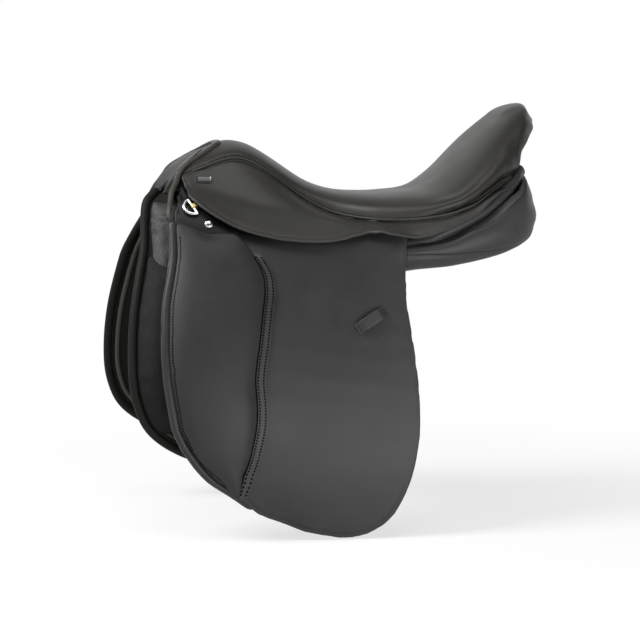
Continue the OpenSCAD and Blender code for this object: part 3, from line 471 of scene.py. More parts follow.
def soft_copy(name, node, look, levels=2, rim=0.0, sharp=50, swell=0.0, fits=()):
    """A smooth mesh through a CAD node, swollen along its normals and then moved by each of the fits.

    With a rim, edges sharper than the angle keep that radius.
    """
    bm = welded([node])
    bmesh.ops.join_triangles(bm, faces=bm.faces, angle_face_threshold=math.pi,
                             angle_shape_threshold=math.pi, topology_influence=1.0)
    bm.normal_update()
    if rim:
        edges = [e for e in bm.edges if e.is_manifold and e.calc_face_angle() > math.radians(sharp)]
        bmesh.ops.bevel(bm, geom=edges, offset=rim, segments=2, profile=0.6, affect="EDGES",
                        clamp_overlap=True)
    obj = subdivide(make_object(name, bm, look), levels)
    return reshape(displace(obj, swell), *fits)


def displace(obj, height):
    """Moves each vertex along its normal, by a number or by height(places)."""
    co = places(obj)
    normals = read(obj.data.vertex_normals, "vector")
    amount = height(co) if callable(height) else height
    return put(obj, co + normals * np.broadcast_to(amount, len(co))[:, None])


def reshape(obj, *fits):
    """Moves an object's vertices to where each fit in turn puts their places."""
    for fit in fits:
        put(obj, fit(places(obj)))
    return obj


def ease(values, start, end):
    """0 before start, 1 after end and smooth between; start may be above end."""
    t = np.clip((values - start) / (end - start), 0, 1)
    return t * t * (3 - 2 * t)


def shifted(co, x=0.0, y=0.0, z=0.0):
    """Places moved along each axis, by one number or by a number for each place."""
    moved = co.copy()
    for axis, amount in enumerate((x, y, z)):
        moved[:, axis] += amount
    return moved


def noise_at(co, size, seed):
    """Smooth noise from -1 to 1 at each place, with features of that size along each axis."""
    shift = Vector((seed * 7.3, seed * 3.1, seed * 5.7))
    scale = np.asarray(size)
    return np.array([noise.noise(Vector(p) + shift) for p in co / scale])


def even_out(rows, edges, rounds, back=-0.52, share=1.0):
    """Takes the facets out of rows of values at mesh points, without flattening their curve."""
    ends = np.vstack([edges, edges[:, ::-1]])
    count = np.maximum(np.bincount(ends[:, 0], minlength=len(rows)), 1)[:, None]
    for step in [0.5, back] * rounds:
        total = np.zeros_like(rows)
        np.add.at(total, ends[:, 0], rows[ends[:, 1]])
        rows = rows + step * share * (total / count - rows)
    return rows


def surface(obj):
    """A search tree of an object's faces."""
    faces = [list(p.vertices) for p in obj.data.polygons]
    return BVHTree.FromPolygons([Vector(p) for p in places(obj)], faces)


def drop(points, tree, direction):
    """Points carried along a direction onto a surface, as (place, normal) pairs."""
    found = []
    for p in points:
        hit = tree.ray_cast(Vector(p) - direction * CAST_FROM, direction)
        if hit[0] is None:
            hit = tree.find_nearest(Vector(p))
        place, normal = hit[0], hit[1]
        found.append((place, normal if normal.dot(direction) < 0 else -normal))
    return found


# Lines on the CAD solids

def lengths(rows):
    return np.linalg.norm(rows, axis=1)


def units(rows, least=1e-12):
    """Rows at length 1, or shorter where a row is shorter than the least length."""
    return rows / np.maximum(lengths(rows), least)[:, None]


def far_along(points):
    """How far along a line each of its points lies."""
    return np.concatenate([[0], np.cumsum(lengths(np.diff(points, axis=0)))])


def rows_at(at, known, rows):
    """Rows that are given at known values, read off at other values."""
    return np.stack([np.interp(at, known, column) for column in rows.T], axis=-1)


def outer_faces(nodes, direction):
    """The faces of CAD nodes that look along a direction."""
    bm = welded(nodes)
    inner = [f for f in bm.faces if f.normal.dot(direction) < OUTER_LIMIT]
    bmesh.ops.delete(bm, geom=inner, context="FACES")
    return bm


def boundary_loops(bm):
    """The closed boundary loops of a mesh as lists of vertices, longest first."""
    loops = []
    left = dict.fromkeys(e for e in bm.edges if e.is_boundary)
    while left:
        edge, _ = left.popitem()
        loop = [edge.verts[0], edge.verts[1]]
        while loop[-1] is not loop[0]:
            onward = [e for e in loop[-1].link_edges if e in left]
            if not onward:
                break
            del left[onward[0]]
            loop.append(onward[0].other_vert(loop[-1]))
        loops.append(loop[:-1] if loop[-1] is loop[0] else loop)

    return sorted(loops, key=lambda loop: far_along([v.co for v in loop + loop[:1]])[-1], reverse=True)


def runs_between_corners(points):
    """A closed line split at its corners; each run includes both of its corners."""
    ahead = np.roll(points, -1, axis=0) - points
    behind = np.roll(ahead, 1, axis=0)
    cos = (ahead * behind).sum(1) / np.maximum(lengths(ahead) * lengths(behind), 1e-12)
    corners = np.flatnonzero(np.degrees(np.arccos(np.clip(cos, -1, 1))) > CORNER_TURN)
    if len(corners) < 2:
        return [np.vstack([points, points[:1]])]
    points = np.roll(points, -corners[0], axis=0)
    stops = list(corners - corners[0]) + [len(points)]
    points = np.vstack([points, points[:1]])
    return [points[a:b + 1] for a, b in zip(stops, stops[1:])]


def smooth_line(points, step):
    """A smooth curve through points, resampled every step."""
    p = np.asarray(points, float)
    if len(p) < 2:
        return p
    ends = np.vstack([2 * p[0] - p[1], p, 2 * p[-1] - p[-2]])
    fine = []
    for i in range(len(p) - 1):
        a, b, c, d = ends[i:i + 4]
        for t in np.linspace(0, 1, 16, endpoint=False):
            fine.append(0.5 * (2 * b + (c - a) * t + (2 * a - 5 * b + 4 * c - d) * t ** 2
                               + (3 * b - a - 3 * c + d) * t ** 3))
    fine = np.array(fine + [p[-1]])
    far = far_along(fine)
    count = max(2, int(round(far[-1] / step)) + 1)
    return rows_at(np.linspace(0, far[-1], count), far, fine)


def outline_of(nodes, direction):
    """The longest edge loop of the CAD faces seen along a direction."""
    bm = outer_faces(nodes, direction)
    loop = np.array([v.co for v in boundary_loops(bm)[0]])
    bm.free()
    return loop


def slice_middles(co, axis, at, half):
    """The middle of the places in each slice across an axis."""
    slices = [co[abs(co[:, axis] - value) < half] for value in at]
    return np.array([part.mean(0) for part in slices if len(part) > 5])


def centre_line(node, step):
    """The middle of the near side of a cord-like CAD node that runs along X, sampled every step."""
    co = places(NODES[node])
    co = co[co[:, 1] > 0]
    return slice_middles(co, 0, np.arange(co[:, 0].min(), co[:, 0].max(), step), step / 2)


def long_edges(nodes, direction, axis=2):
    """The two long edges of a strip-like CAD node, both from the end that is further along the axis."""
    runs = runs_between_corners(outline_of(nodes, direction))
    runs = sorted(runs, key=lambda run: far_along(run)[-1], reverse=True)[:2]
    return [r if r[0][axis] > r[-1][axis] else r[::-1] for r in runs]


def between(first, second, share, step):
    """A line that share of the way from one edge to the other."""
    count = 200
    lines = []
    for edge in (first, second):
        line = smooth_line(edge, step)
        lines.append(rows_at(np.linspace(0, len(line) - 1, count), np.arange(len(line)), line))
    return smooth_line(lines[0] * (1 - share) + lines[1] * share, step)


# Leather sheets

def inside(points, loop):
    """Which points lie inside a closed line in the plane."""
    x, y = points[:, 0], points[:, 1]
    found = np.zeros(len(points), bool)
    for (x1, y1), (x2, y2) in zip(loop, np.roll(loop, -1, axis=0)):
        crosses = (y1 > y) != (y2 > y)
        if y1 != y2:
            found ^= crosses & (x < (x2 - x1) * (y - y1) / (y2 - y1) + x1)
    return found


def depth_in(points, loop):
    """Distance from each point to a closed line in the plane."""
    best = np.full(len(points), np.inf)
    for a, b in zip(loop, np.roll(loop, -1, axis=0)):
        d = b - a
        t = np.clip(((points - a) @ d) / max(d @ d, 1e-18), 0, 1)
        best = np.minimum(best, lengths(points - a - t[:, None] * d))
    return best


def inset(loop, amount):
    """Points of a closed line moved inwards, without those that come too close to another stretch."""
    tangent = np.roll(loop, -1, axis=0) - np.roll(loop, 1, axis=0)
    normal = units(np.stack([-tangent[:, 1], tangent[:, 0]], axis=1))
    moved = loop + normal * amount
    if inside(moved, loop).mean() < 0.5:
        moved = loop - normal * amount
    keep = inside(moved, loop) & (depth_in(moved, loop) > 0.96 * amount)
    return moved[keep]


def joined(first, second):
    """One outline from two that face each other across a narrow gap."""
    runs = []
    for loop, other in ((first, second), (second, first)):
        faces_other = depth_in(loop, other) < SHEET_GAP
        start = next(i for i in range(len(loop)) if faces_other[i] and not faces_other[(i + 1) % len(loop)])
        loop, faces_other = np.roll(loop, -start, axis=0), np.roll(faces_other, -start)
        stop = 1 + next(i for i, near in enumerate(faces_other[1:]) if near)
        runs.append(loop[:stop + 1])
    a, b = runs
    if np.linalg.norm(a[-1] - b[0]) > np.linalg.norm(a[-1] - b[-1]):
        b = b[::-1]
    return np.vstack([[(a[0] + b[-1]) / 2], a[1:-1], [(a[-1] + b[0]) / 2], b[1:-1]])


def sheet_points(outline, holes, rings):
    """Points for a sheet's mesh: its edges, rings inside its outline and an even field between."""
    low, high = outline.min(0), outline.max(0)
    rows = np.arange(low[1], high[1], SHEET_ROW)
    field = np.array([(x + (i % 2) * SHEET_STEP / 2, y) for i, y in enumerate(rows)
                      for x in np.arange(low[0], high[0], SHEET_STEP)])
    field = field[inside(field, outline)]
    field = field[depth_in(field, outline) > max(rings) + 0.6 * SHEET_STEP]
    filling = np.vstack([inset(outline, r) for r in rings] + [field])
    for hole in holes:
        filling = filling[~inside(filling, hole) & (depth_in(filling, hole) > 0.5 * MM)]
    edges = []
    first = 0
    for rim in [outline] + holes:
        edges += [(first + i, first + (i + 1) % len(rim)) for i in range(len(rim))]
        first += len(rim)
    return np.vstack([outline] + holes + [filling]), edges


def heights_on(tree, flat, edges):
    """Height of a surface over each point; where there is no surface, a fair bridge."""
    height = np.full(len(flat), np.nan)
    for i, (x, y) in enumerate(flat):
        hit = tree.ray_cast(Vector((x, y, 1.0)), -UP)
        if hit[0] is not None:
            height[i] = hit[0].z
    missing = np.isnan(height)
    height[missing] = np.nanmean(height)
    weight = np.where(missing, 1e-4, 1.0)
    ends = np.vstack([edges, edges[:, ::-1]])
    for _ in range(BRIDGE_ROUNDS):
        total, share = np.zeros((2, len(flat)))
        np.add.at(total, ends[:, 0], (height * weight)[ends[:, 1]])
        np.add.at(share, ends[:, 0], weight[ends[:, 1]])
        mean = total / np.maximum(share, 1e-12)
        height[missing] = mean[missing]
        weight = np.where(missing & (share > 0.5), 0.6, weight)
    return height


def corner_normals(co, faces, look):
    """Vertex normals of a triangle mesh, on the side that is seen along a direction."""
    normals = np.zeros_like(co)
    tri = np.asarray(faces)
    across = np.cross(co[tri[:, 1]] - co[tri[:, 0]], co[tri[:, 2]] - co[tri[:, 0]])
    across *= np.sign(across @ np.array(look))[:, None]
    for k in range(3):
        np.add.at(normals, tri[:, k], across)
    return units(normals, 1e-15)


def leather_sheet(name, nodes, slot, thick, crease, look=OUT, crease_depth=0.35 * MM, rounds=60,
                  keep_holes=False):
    """One sheet of leather over the outer faces of CAD nodes, with a rounded cut edge and a pressed line.

    The faces are those seen along the look direction. Narrow gaps between solids close.
    """
    axes = np.array([Vector((1, 0, 0)), Vector((1, 0, 0)).cross(look), look])
    bm = outer_faces(nodes, look)
    for v in bm.verts:
        v.co = Vector(axes @ np.array(v.co))
    outline, *others = [np.array([v.co.xy for v in loop]) for loop in boundary_loops(bm)]
    bmesh.ops.triangulate(bm, faces=bm.faces)
    under = BVHTree.FromBMesh(bm)
    bm.free()
    holes = others if keep_holes else []
    while others and not keep_holes:
        gaps = [depth_in(loop, outline).min() for loop in others]
        outline = joined(outline, others.pop(int(np.argmin(gaps))))
    outline = np.vstack([smooth_line(r, EDGE_STEP)[:-1] for r in runs_between_corners(outline)])

    rings = [share * EDGE_ROUND for share in (0.3, 0.8, 1.6)] + [crease - CREASE_W, crease, crease + CREASE_W]
    points, fixed = sheet_points(outline, holes, rings)
    flat, _, faces = delaunay_2d_cdt([Vector(p) for p in points], fixed, [], 1, 1e-7)[:3]
    flat = np.array(flat)
    for hole in holes:
        open_face = inside(np.array([flat[f].mean(0) for f in faces]), hole)
        faces = [f for f, is_open in zip(faces, open_face) if not is_open]
    edges = np.array(sorted({tuple(sorted((f[k], f[k - 1]))) for f in faces for k in range(3)}))
    height = even_out(heights_on(under, flat, edges)[:, None], edges, rounds)

    co = np.column_stack([flat, height]) @ axes
    normal = corner_normals(co, faces, look)
    depth = np.min([depth_in(flat, rim) for rim in [outline] + holes], axis=0)
    sink = thick / 2 * (1 - np.sqrt(1 - np.clip(1 - depth / EDGE_ROUND, 0, 1) ** 2))
    pressed = crease_depth * np.exp(-((depth_in(flat, outline) - crease) / (0.6 * CREASE_W)) ** 2)
    top = co - normal * (sink + pressed)[:, None]
    bottom = co - normal * (thick - sink)[:, None]
    bm = bmesh.new()
    outer = [bm.verts.new(p) for p in top]
    inner = [v if d < 1e-6 else bm.verts.new(p) for v, p, d in zip(outer, bottom, depth)]
    for f in faces:
        bm.faces.new([outer[k] for k in f])
        if any(inner[k] is not outer[k] for k in f):
            bm.faces.new([inner[k] for k in reversed(f)])
    bmesh.ops.delete(bm, geom=[v for v in bm.verts if not v.link_faces], context="VERTS")
    return make_object(name, bm, slot)


# Small modelled pieces

def loft(name, solids, slot):
    """An object of closed solids, each through rings of places."""
    bm = bmesh.new()
    for rings in solids:
        made = [[bm.verts.new(p) for p in ring] for ring in rings]
        for a, b in zip(made, made[1:]):
            for k in range(len(a)):
                n = (k + 1) % len(a)
                bm.faces.new((a[k], a[n], b[n], b[k]))
        bm.faces.new(list(reversed(made[0])))
        bm.faces.new(made[-1])
    return make_object(name, bm, slot)


def circle(centre, side, other, radius, count):
    return [centre + radius * (side * math.cos(t) + other * math.sin(t))
            for t in np.linspace(0, 2 * math.pi, count, endpoint=False)]


def rounded_ring(half_x, half_y, power, count):
    """Points of a rectangle with rounded corners, as shares of two axes."""
    t = np.linspace(0, 2 * math.pi, count, endpoint=False)
    columns = [half * np.sign(turn) * abs(turn) ** (2 / power)
               for half, turn in ((half_x, np.cos(t)), (half_y, np.sin(t)))]
    return np.column_stack(columns).tolist()


def cord(name, path, radius, slot):
    """A round cord along points, thinner at its very ends."""
    path = [Vector(p) for p in path]
    last = len(path) - 1
    rings = []
    side = None
    for i, p in enumerate(path):
        t = (path[min(i + 1, last)] - path[max(i - 1, 0)]).normalized()
        if side is None:
            side = t.cross(UP if abs(t.z) < 0.9 else OUT).normalized()
        side = (side - t * side.dot(t)).normalized()
        taper = min(1.0, 0.55 + 0.45 * min(i, last - i))
        rings.append(circle(p, side, t.cross(side), radius * taper, CORD_SIDES))
    return loft(name, [rings], slot)


def stitches(name, rows, stitch):
    """Rows of thread on a surface. Each row is a list of (place, normal) pairs a small step apart."""
    length, gap, radius = stitch
    solids = []
    for row in rows:
        place, normal = (np.array(column) for column in zip(*row))
        far = far_along(place)
        for start in np.arange(0, far[-1] - length, length + gap):
            a, b = (Vector(rows_at(at, far, place)) for at in (start, start + length))
            up = Vector(rows_at(start + length / 2, far, normal)).normalized()
            side = (b - a).normalized().cross(up).normalized()
            rings = []
            for share, size in STITCH_RINGS:
                centre = a.lerp(b, share) + up * radius * (size - 0.5) * 0.8
                rings.append(circle(centre, side, up, radius * size, STITCH_SIDES))
            solids.append(rings)
    return loft(name, solids, "thread")


def own_axes(node):
    """Middle, long axis, wide axis and outward normal of a CAD node's near side, and its size along them."""
    co = places(NODES[node])
    co = np.unique(co[co[:, 1] > 0].round(6), axis=0)
    middle = co.mean(0)
    _, _, axes = np.linalg.svd(co - middle)
    long, wide = Vector(axes[0]), Vector(axes[1])
    if long.x > 0:
        long = -long
    normal = long.cross(wide).normalized()
    if normal.y < 0:
        wide, normal = -wide, -normal
    local = (co - middle) @ np.array([long, wide, normal]).T
    centre = Vector(middle)
    for axis, low, high in zip((long, wide, normal), local.min(0), local.max(0)):
        centre += axis * float((low + high) / 2)
    return centre, long, wide, normal, local.max(0) - local.min(0)


# Placing pieces on the frame

def hinge(joint):
    """The pivot and axis of a joint."""
    return Vector(JOINTS[joint]["pos_m"]), Vector(JOINTS[joint]["axis"])


def set_piece(obj, body, nodes=()):
    """Sets a piece on a body, in place of CAD nodes."""
    if body:
        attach(obj, body)
    if nodes:
        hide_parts(*nodes)


def twins(obj):
    """A near-side piece and its mirror image, each with its side."""
    twin = obj.copy()
    twin.name = obj.name + "_off"
    twin.data = obj.data.copy()
    twin.data.flip_normals()
    put(twin, places(obj) * (1, -1, 1))
    bpy.context.scene.collection.objects.link(twin)
    obj.name += "_near"
    return (obj, "near"), (twin, "off")


def pair(obj, body, nodes=(), fit=None):
    """Sets a near-side piece on its body, and its mirror image on the off side. The fit reshapes both."""
    for piece, side in twins(obj):
        if fit:
            reshape(piece, fit)
        on = body if body == "saddle" else f"{body}_{side}"
        set_piece(piece, on, [f"{n}_{side}" for n in nodes])


def soft_piece(name, node, slot, fill=None, look=None, **form):
    """A smooth piece in place of a CAD node; it looks like another slot where a look is named."""
    obj = soft_copy(name, node, look or slot, **form)
    set_piece(obj, "saddle", [node])
    return obj


def soft_pair(name, node, slot, fill=None, look=None, body="saddle", fit=None, **form):
    """A smooth piece on each side in place of a pair of CAD nodes. The fit reshapes both."""
    obj = soft_copy(name, node + "_near", look or slot, **form)
    pair(obj, body, [node], fit)
    return obj


def folding_pair(obj, joint, nodes):
    """A near-side sheet and its mirror image, each with its transform baked, in place of CAD nodes."""
    for piece, side in twins(obj):
        pivot, axis = hinge(f"{joint}_{side}")
        down = axis.cross(OUT).normalized()
        if down.z > 0:
            down = -down
        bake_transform(piece)
        set_piece(piece, None, [f"{n}_{side}" for n in nodes])


def both_for(obj, node):
    """Sets a near-side piece and its mirror image in place of one CAD node that holds both."""
    for piece, _ in twins(obj):
        set_piece(piece, "saddle", [node])


# Seat, cantle and head

# Beside the cantle: places along X, the welt's height there, and how far the padding's swell is stretched
SEAT_SIDE_X = (-0.18, -0.165, -0.15, -0.13, -0.10, -0.06)
SEAT_WELT_Z = (0.104, 0.102, 0.098, 0.094, 0.080, 0.072)
SEAT_STRETCH = (1.6, 1.25, 1.0, 0.85, 0.6, 0.5)

# The seat's rear: places along X, and the height of its crest there
SEAT_CREST = ((-0.20, -0.19, -0.18, -0.165, -0.15), (0.204, 0.198, 0.191, 0.181, 0.165))


def lift_rear(co):
    """Sweeps the leather beside and below the cantle upwards at its rear end."""
    x, y, z = co.T
    share = ease(x, -0.115, -0.168) * ease(z, 0.038, 0.085) * ease(z, 0.195, 0.100)
    seat = ease(z, 0.098, 0.112) * ease(abs(y), 0.124, 0.119)
    forward = 0.006 * share * (1 - seat) * ease(x, -0.17, -0.21) - 0.004 * share * seat
    return shifted(co, x=forward, z=0.015 * share)


def full_side(co):
    """Swells the padding beside the cantle, and draws it in just above the welt."""
    x, _, z = co.T
    high = z - np.interp(x, SEAT_SIDE_X, SEAT_WELT_Z)
    high /= MM * np.interp(x, SEAT_SIDE_X, SEAT_STRETCH)
    swell = ease(high, 3, 15) * ease(high, 36, 17)
    return ease(x, -0.03, -0.11) * (5.0 * MM * swell - 3.0 * MM * ease(high, 6, 0))


def round_rear(co):
    """Rounds the rear of the seat: out at half height, in at the top."""
    x, y, z = co.T
    rear = ease(x, -0.165, -0.195)
    out = ease(z, 0.140, 0.160) * ease(np.interp(x, *SEAT_CREST) - z, 0.004, 0.022)
    out *= ease(abs(y), 0.040, 0.070)
    top = ease(z, 0.190, 0.202) * ease(abs(y), 0.055, 0.030)
    corner = ease(z, 0.150, 0.130)
    return lift_rear(shifted(co, x=rear * (0.004 * top - 0.006 * out + 0.004 * corner)))


def build_seat():
    seat = soft_copy("seat_leather", "seat_cover", "seat_leather", 2, 0.9 * MM, sharp=75,
                     swell=lambda co: 0.35 * MM * noise_at(co, 0.07, 1))
    co = places(seat)
    edges = np.array([e.vertices[:] for e in seat.data.edges])
    rear = ease(co[:, 0], -0.165, -0.195) * ease(co[:, 2], 0.120, 0.160)
    put(seat, even_out(co, edges, 50, -0.51, rear[:, None]))
    reshape(displace(seat, full_side), round_rear)
    set_piece(seat, "saddle", ["seat_cover"])
    soft_piece("seat_filling", "seat_foam", "foam", 1.0, levels=1, swell=-2.5 * MM)
    for side in ("near", "off"):
        soft_piece(f"welt_{side}", f"seat_welt_{side}", "piping_leather", look="skirt_leather",
                   fits=[lift_rear])
    middle = lift_rear(smooth_line(centre_line("seat_welt_near", 12 * MM), 3 * MM))
    packing = cord("welt_packing", middle + (0, -3 * MM, -3 * MM), 3 * MM, "seat_leather")
    pair(packing, "saddle")
    for place in ("seat", "cross", "girth"):
        soft_piece(place + "_webbing", place + "_webs", "webbing", levels=1, rim=0.4 * MM)


def down_to_roll(co):
    """Leans the cantle's cover forward, and brings its foot down to the roll."""
    z = co[:, 2]
    low = ease(z, 0.128, 0.100)
    forward = 0.002 + 0.008 * ease(z, 0.156, 0.125) + 0.003 * ease(z, 0.160, 0.178) + 0.006 * low ** 2
    return lift_rear(shifted(co, x=forward, z=-0.026 * low))


def build_cantle():
    back = soft_piece("cantle_leather", "cantle_back", "seat_leather", rim=0.8 * MM, fits=[down_to_roll])
    loop = outline_of(["cantle_back"], BACK)
    top = down_to_roll(max(runs_between_corners(loop), key=lambda r: r[:, 2].mean()))
    seam = smooth_line(top, 3 * MM)
    binding = cord("cantle_binding", seam + (-0.6 * MM, 0, 1.6 * MM), 2.3 * MM, "piping_leather")
    set_piece(binding, "saddle")
    row = drop(smooth_line(top - (0, 0, 6 * MM), 1 * MM), surface(back), -BACK)
    set_piece(stitches("cantle_stitches", [row], CANTLE_STITCH), "saddle")


# The near half of the head's piping, from its top
HEAD_PIPING_MM = ((184, 20, 161.5), (193, 33, 156.5), (201, 41, 151.5), (212, 47, 145.5), (222, 51, 139.5),
                  (232, 57, 133), (238, 61, 127), (242, 66, 120), (246, 74, 113), (251.5, 82, 104),
                  (256, 93, 92), (259.5, 106, 78), (260, 109, 70))
YOKE_OUT = np.array((0.86, 0, 0.51))
YOKE_SWELL = 2.5 * MM
YOKE_FROM_Z = 0.088


def collar(co):
    """Gathers the facing's low end in folds."""
    low = np.clip((0.112 - co[:, 2]) / 0.02, 0, 1)
    return 0.8 * MM * low * np.sin(co[:, 2] / (1.3 * MM)) + 0.3 * MM * noise_at(co, 0.012, 2)


def build_pommel():
    facing = soft_piece("pommel_leather", "pommel_facing", "grain_leather", 0.5, rim=0.8 * MM, swell=collar)
    near = np.array(HEAD_PIPING_MM) * MM
    outer = smooth_line(np.vstack([near[::-1], near * (1, -1, 1)]), 3 * MM)
    piping = cord("head_piping_roll", outer, 3.3 * MM, "piping_leather")
    set_piece(piping, "saddle", ["head_piping"])

    outer = outer[outer[:, 2] > YOKE_FROM_Z]
    on_facing = surface(facing)
    inner = np.array([on_facing.find_nearest(Vector(p))[0] for p in outer])
    chain = np.array([(i, i + 1) for i in range(len(inner) - 1)])
    inner = even_out(inner, chain, 6)
    inner += units(inner - outer, 1 * MM) * 4 * MM
    rows = [outer * (1 - t) + inner * t + YOKE_OUT * YOKE_SWELL * math.sin(math.pi * t)
            for t in np.linspace(0, 1, 9)]
    rows += [row - YOKE_OUT * YOKE_SWELL for row in rows[::-1]]
    rings = [[Vector(row[i]) for row in rows] for i in range(len(outer))]
    set_piece(loft("head_yoke", [rings], "grain_leather"), "saddle")
    for part in ("head", "frame"):
        # The linings share the sweat flaps' darkened leather, which carries painted shade
        lining = soft_copy("lining_" + part, "tree_" + part, "sweat_leather_painted_shade", 1, swell=0.7 * MM)
        set_piece(lining, "saddle")


# Skirts, flaps and knee pads

def build_skirts():
    skirt = leather_sheet("skirt_leather", ["skirt_root_near", "skirt_near"], "skirt_leather",
                          thick=3.5 * MM, crease=5 * MM, look=Vector((0, 0.8, 0.6)))

    def hang(co):
        """Brings the front corner to the head and ends in a point behind."""
        x, _, z = co.T
        to_head = 0.012 * ease(x, 0.195, 0.226) * ease(z, 0.104, 0.122)
        return shifted(lift_rear(co), x=to_head - 0.008 * ease(x, -0.13, -0.162))

    reshape(skirt, hang)
    folding_pair(skirt, "skirt_lift", ["skirt_root", "skirt"])


# The flap's front edge, in mm: height, the CAD piping's place, and how far forward of it the edge lies
FRONT_EDGE_MM = np.array([
    (-270, 191.0, -3), (-256, 206.5, -2), (-242, 220.5, 2), (-227, 228.5, 6), (-204, 240.6, 11),
    (-180, 249.3, 14), (-151, 257.1, 11), (-107, 266.8, 6), (-64, 269.3, 3), (-20, 265.4, 2), (23, 257.8, 0)])

# The strip behind the knee pad, in mm: height, its middle in CAD, and how far it moves forward
STRIP_MM = np.array([
    (-256, 181.6, 1.4), (-250, 183.8, -3.0), (-243, 185.5, -8.7), (-230, 181.1, -9.5), (-216, 173.7, -6.5),
    (-200, 166.9, -3.5), (-183, 159.6, 0), (-164, 154.6, 3.5), (-145, 154.5, 4.0), (-125, 156.5, 3.0),
    (-105, 155.9, 1.0), (-84, 152.8, 0)])

# The flap's lower front corner, in mm: places along X, and how far each is raised
CORNER_MM = ((105, 127, 144, 159, 179, 190), (0, 3.0, 3.9, 4.0, -3.0, -4.5))
NAIL_X, NAIL_Z = 0.212, 0.060
SEWN_TO_Z = 0.024
# Top of the black cord that is painted shadow along the pad's edge
SHADOW_CORD_TO_Z = 0.030


def at_height(z, table):
    """A line's place and its move forward at each height."""
    return (rows_at(z / MM, table[:, 0], table[:, 1:]) * MM).T


def full_front(co):
    """Carries the flap's front edge, with what lies along it, out to its full curve."""
    edge, forward = at_height(co[:, 2], FRONT_EDGE_MM)
    return shifted(co, x=ease(co[:, 0], edge - 0.060, edge - 0.006) * forward)


def lower_corner(co):
    """Rounds the flap's lower front corner."""
    raised = np.interp(co[:, 0] / MM, *CORNER_MM) * MM
    return shifted(co, z=raised * ease(co[:, 2], -0.235, -0.265))


def strip_line(co):
    """Moves the strip behind the knee pad, and the pad's edge beside it, to a smoother line."""
    x, _, z = co.T
    middle, forward = at_height(z, STRIP_MM)
    near = ease(x, middle + 0.055, middle + 0.006)
    return shifted(co, x=near * forward, z=-0.0085 * near * ease(z, -0.230, -0.256))


def under_skirt(co):
    """Draws the flap's top in below the skirt, and carries its edge up behind it."""
    x, _, z = co.T
    pivot, axis = hinge("flap_lift_near")
    fold = pivot.z + (x - pivot.x) * axis.z / axis.x
    drawn = ease(z, fold + 0.003, fold + 0.016) * ease(x, 0.212, 0.180) * ease(x, -0.035, 0.01)
    edge = ease(z, fold, fold + 0.011) * ease(x, 0.17, 0.13)
    return shifted(co, y=-0.013 * drawn, z=edge * (0.010 + 0.010 * ease(x, 0.09, 0.04)))


def below_nail(co):
    """Hollows the top of the knee pad out below the nail."""
    x, _, z = co.T
    return shifted(co, z=-5 * MM * np.exp(-((x - NAIL_X) ** 2 + (z - NAIL_Z) ** 2) / 0.016 ** 2))


def top_sunk(co):
    """Sinks the strip's top into the flap, under the skirt."""
    return shifted(co, y=-0.005 * ease(co[:, 2], 0.020, 0.036))


def run_out(co):
    """Draws the piping's low end out along the flap's edge and in behind it."""
    return co + ease(co[:, 2], -0.244, -0.268)[:, None] * (-0.021, -0.0045, -0.0105)


def build_flaps():
    flap = leather_sheet("flap_leather", ["flap_root_near", "flap_near"], "flap_leather",
                         thick=4 * MM, crease=4 * MM, crease_depth=0.25 * MM)
    reshape(flap, lower_corner, full_front, under_skirt)
    folding_pair(flap, "flap_lift", ["flap_root", "flap"])

    rim = outline_of(["knee_pad_cover_near"], OUT)[:, [0, 2]]

    def crown(co):
        """Swells the pad from its edges to its middle, a little unevenly."""
        swell = 1 - np.exp(-depth_in(co[:, [0, 2]], rim) / (20 * MM))
        return 3.2 * MM * swell + 0.3 * MM * noise_at(co, (0.05, 0.05, 0.09), 3)

    pad = soft_pair("knee_pad", "knee_pad_cover", "pad_leather", 0.6, body="flap_body", swell=crown,
                    fits=(below_nail, strip_line, full_front))
    soft_pair("knee_pad_filling", "knee_pad_foam", "foam", 1.0, body="flap_body", levels=1)

    strip = soft_copy("knee_pad_strip", "pad_strip_near", "strip_leather", rim=0.6 * MM)
    edges = sorted(long_edges(["pad_strip_near"], OUT), key=lambda edge: edge[:, 0].mean())
    on_strip = surface(strip)
    rows = [drop(between(*edges, share, 1 * MM), on_strip, -OUT) for share in (0.18, 0.82)]
    rows = [[(place, normal) for place, normal in row if place.z < SEWN_TO_Z] for row in rows]
    sewing = stitches("strip_stitches", rows, STRIP_STITCH)
    # A black cord beside the pad's edge: painted shadow in the groove between pad and strip
    shadow_path = between(*edges, 1.10, 3 * MM)
    shadow_cord = cord("strip_painted_shadow", shadow_path[shadow_path[:, 2] < SHADOW_CORD_TO_Z] + (0, 0.2 * MM, 0), 0.9 * MM, "thread")
    for piece in (strip, sewing, shadow_cord):
        reshape(piece, strip_line, under_skirt, top_sunk)
    pair(strip, "flap_body", ["pad_strip"])
    pair(sewing, "flap_body")
    pair(shadow_cord, "flap_body")

    piping = places(NODES["flap_piping_near"])
    front = full_front(slice_middles(piping, 2, np.arange(-0.252, 0.056, 0.012), 9 * MM))
    seam = drop(smooth_line(front[4:] - (8 * MM, 0, 0), 1 * MM), surface(pad), -OUT)
    pair(stitches("pad_front_stitches", [seam], PAD_STITCH), "flap_body")
    edge_line = smooth_line(front + (4.2 * MM, 1.6 * MM, 0), 4 * MM)
    pair(cord("flap_edge_line", edge_line, 1.3 * MM, "piping_leather"), "flap_body")
    soft_pair("flap_edge_roll", "flap_piping", "piping_leather", look="edge_leather", body="flap_body",
              swell=1.1 * MM, fits=(full_front, run_out))


# Sweat flaps, panels and straps

def lean_forward(co):
    """Sets the tops of the sweat flaps as they lie: the near one further forward than the off one."""
    return shifted(co, x=ease(co[:, 2], 0.015, 0.105) * np.where(co[:, 1] > 0, 0.012, -0.018))


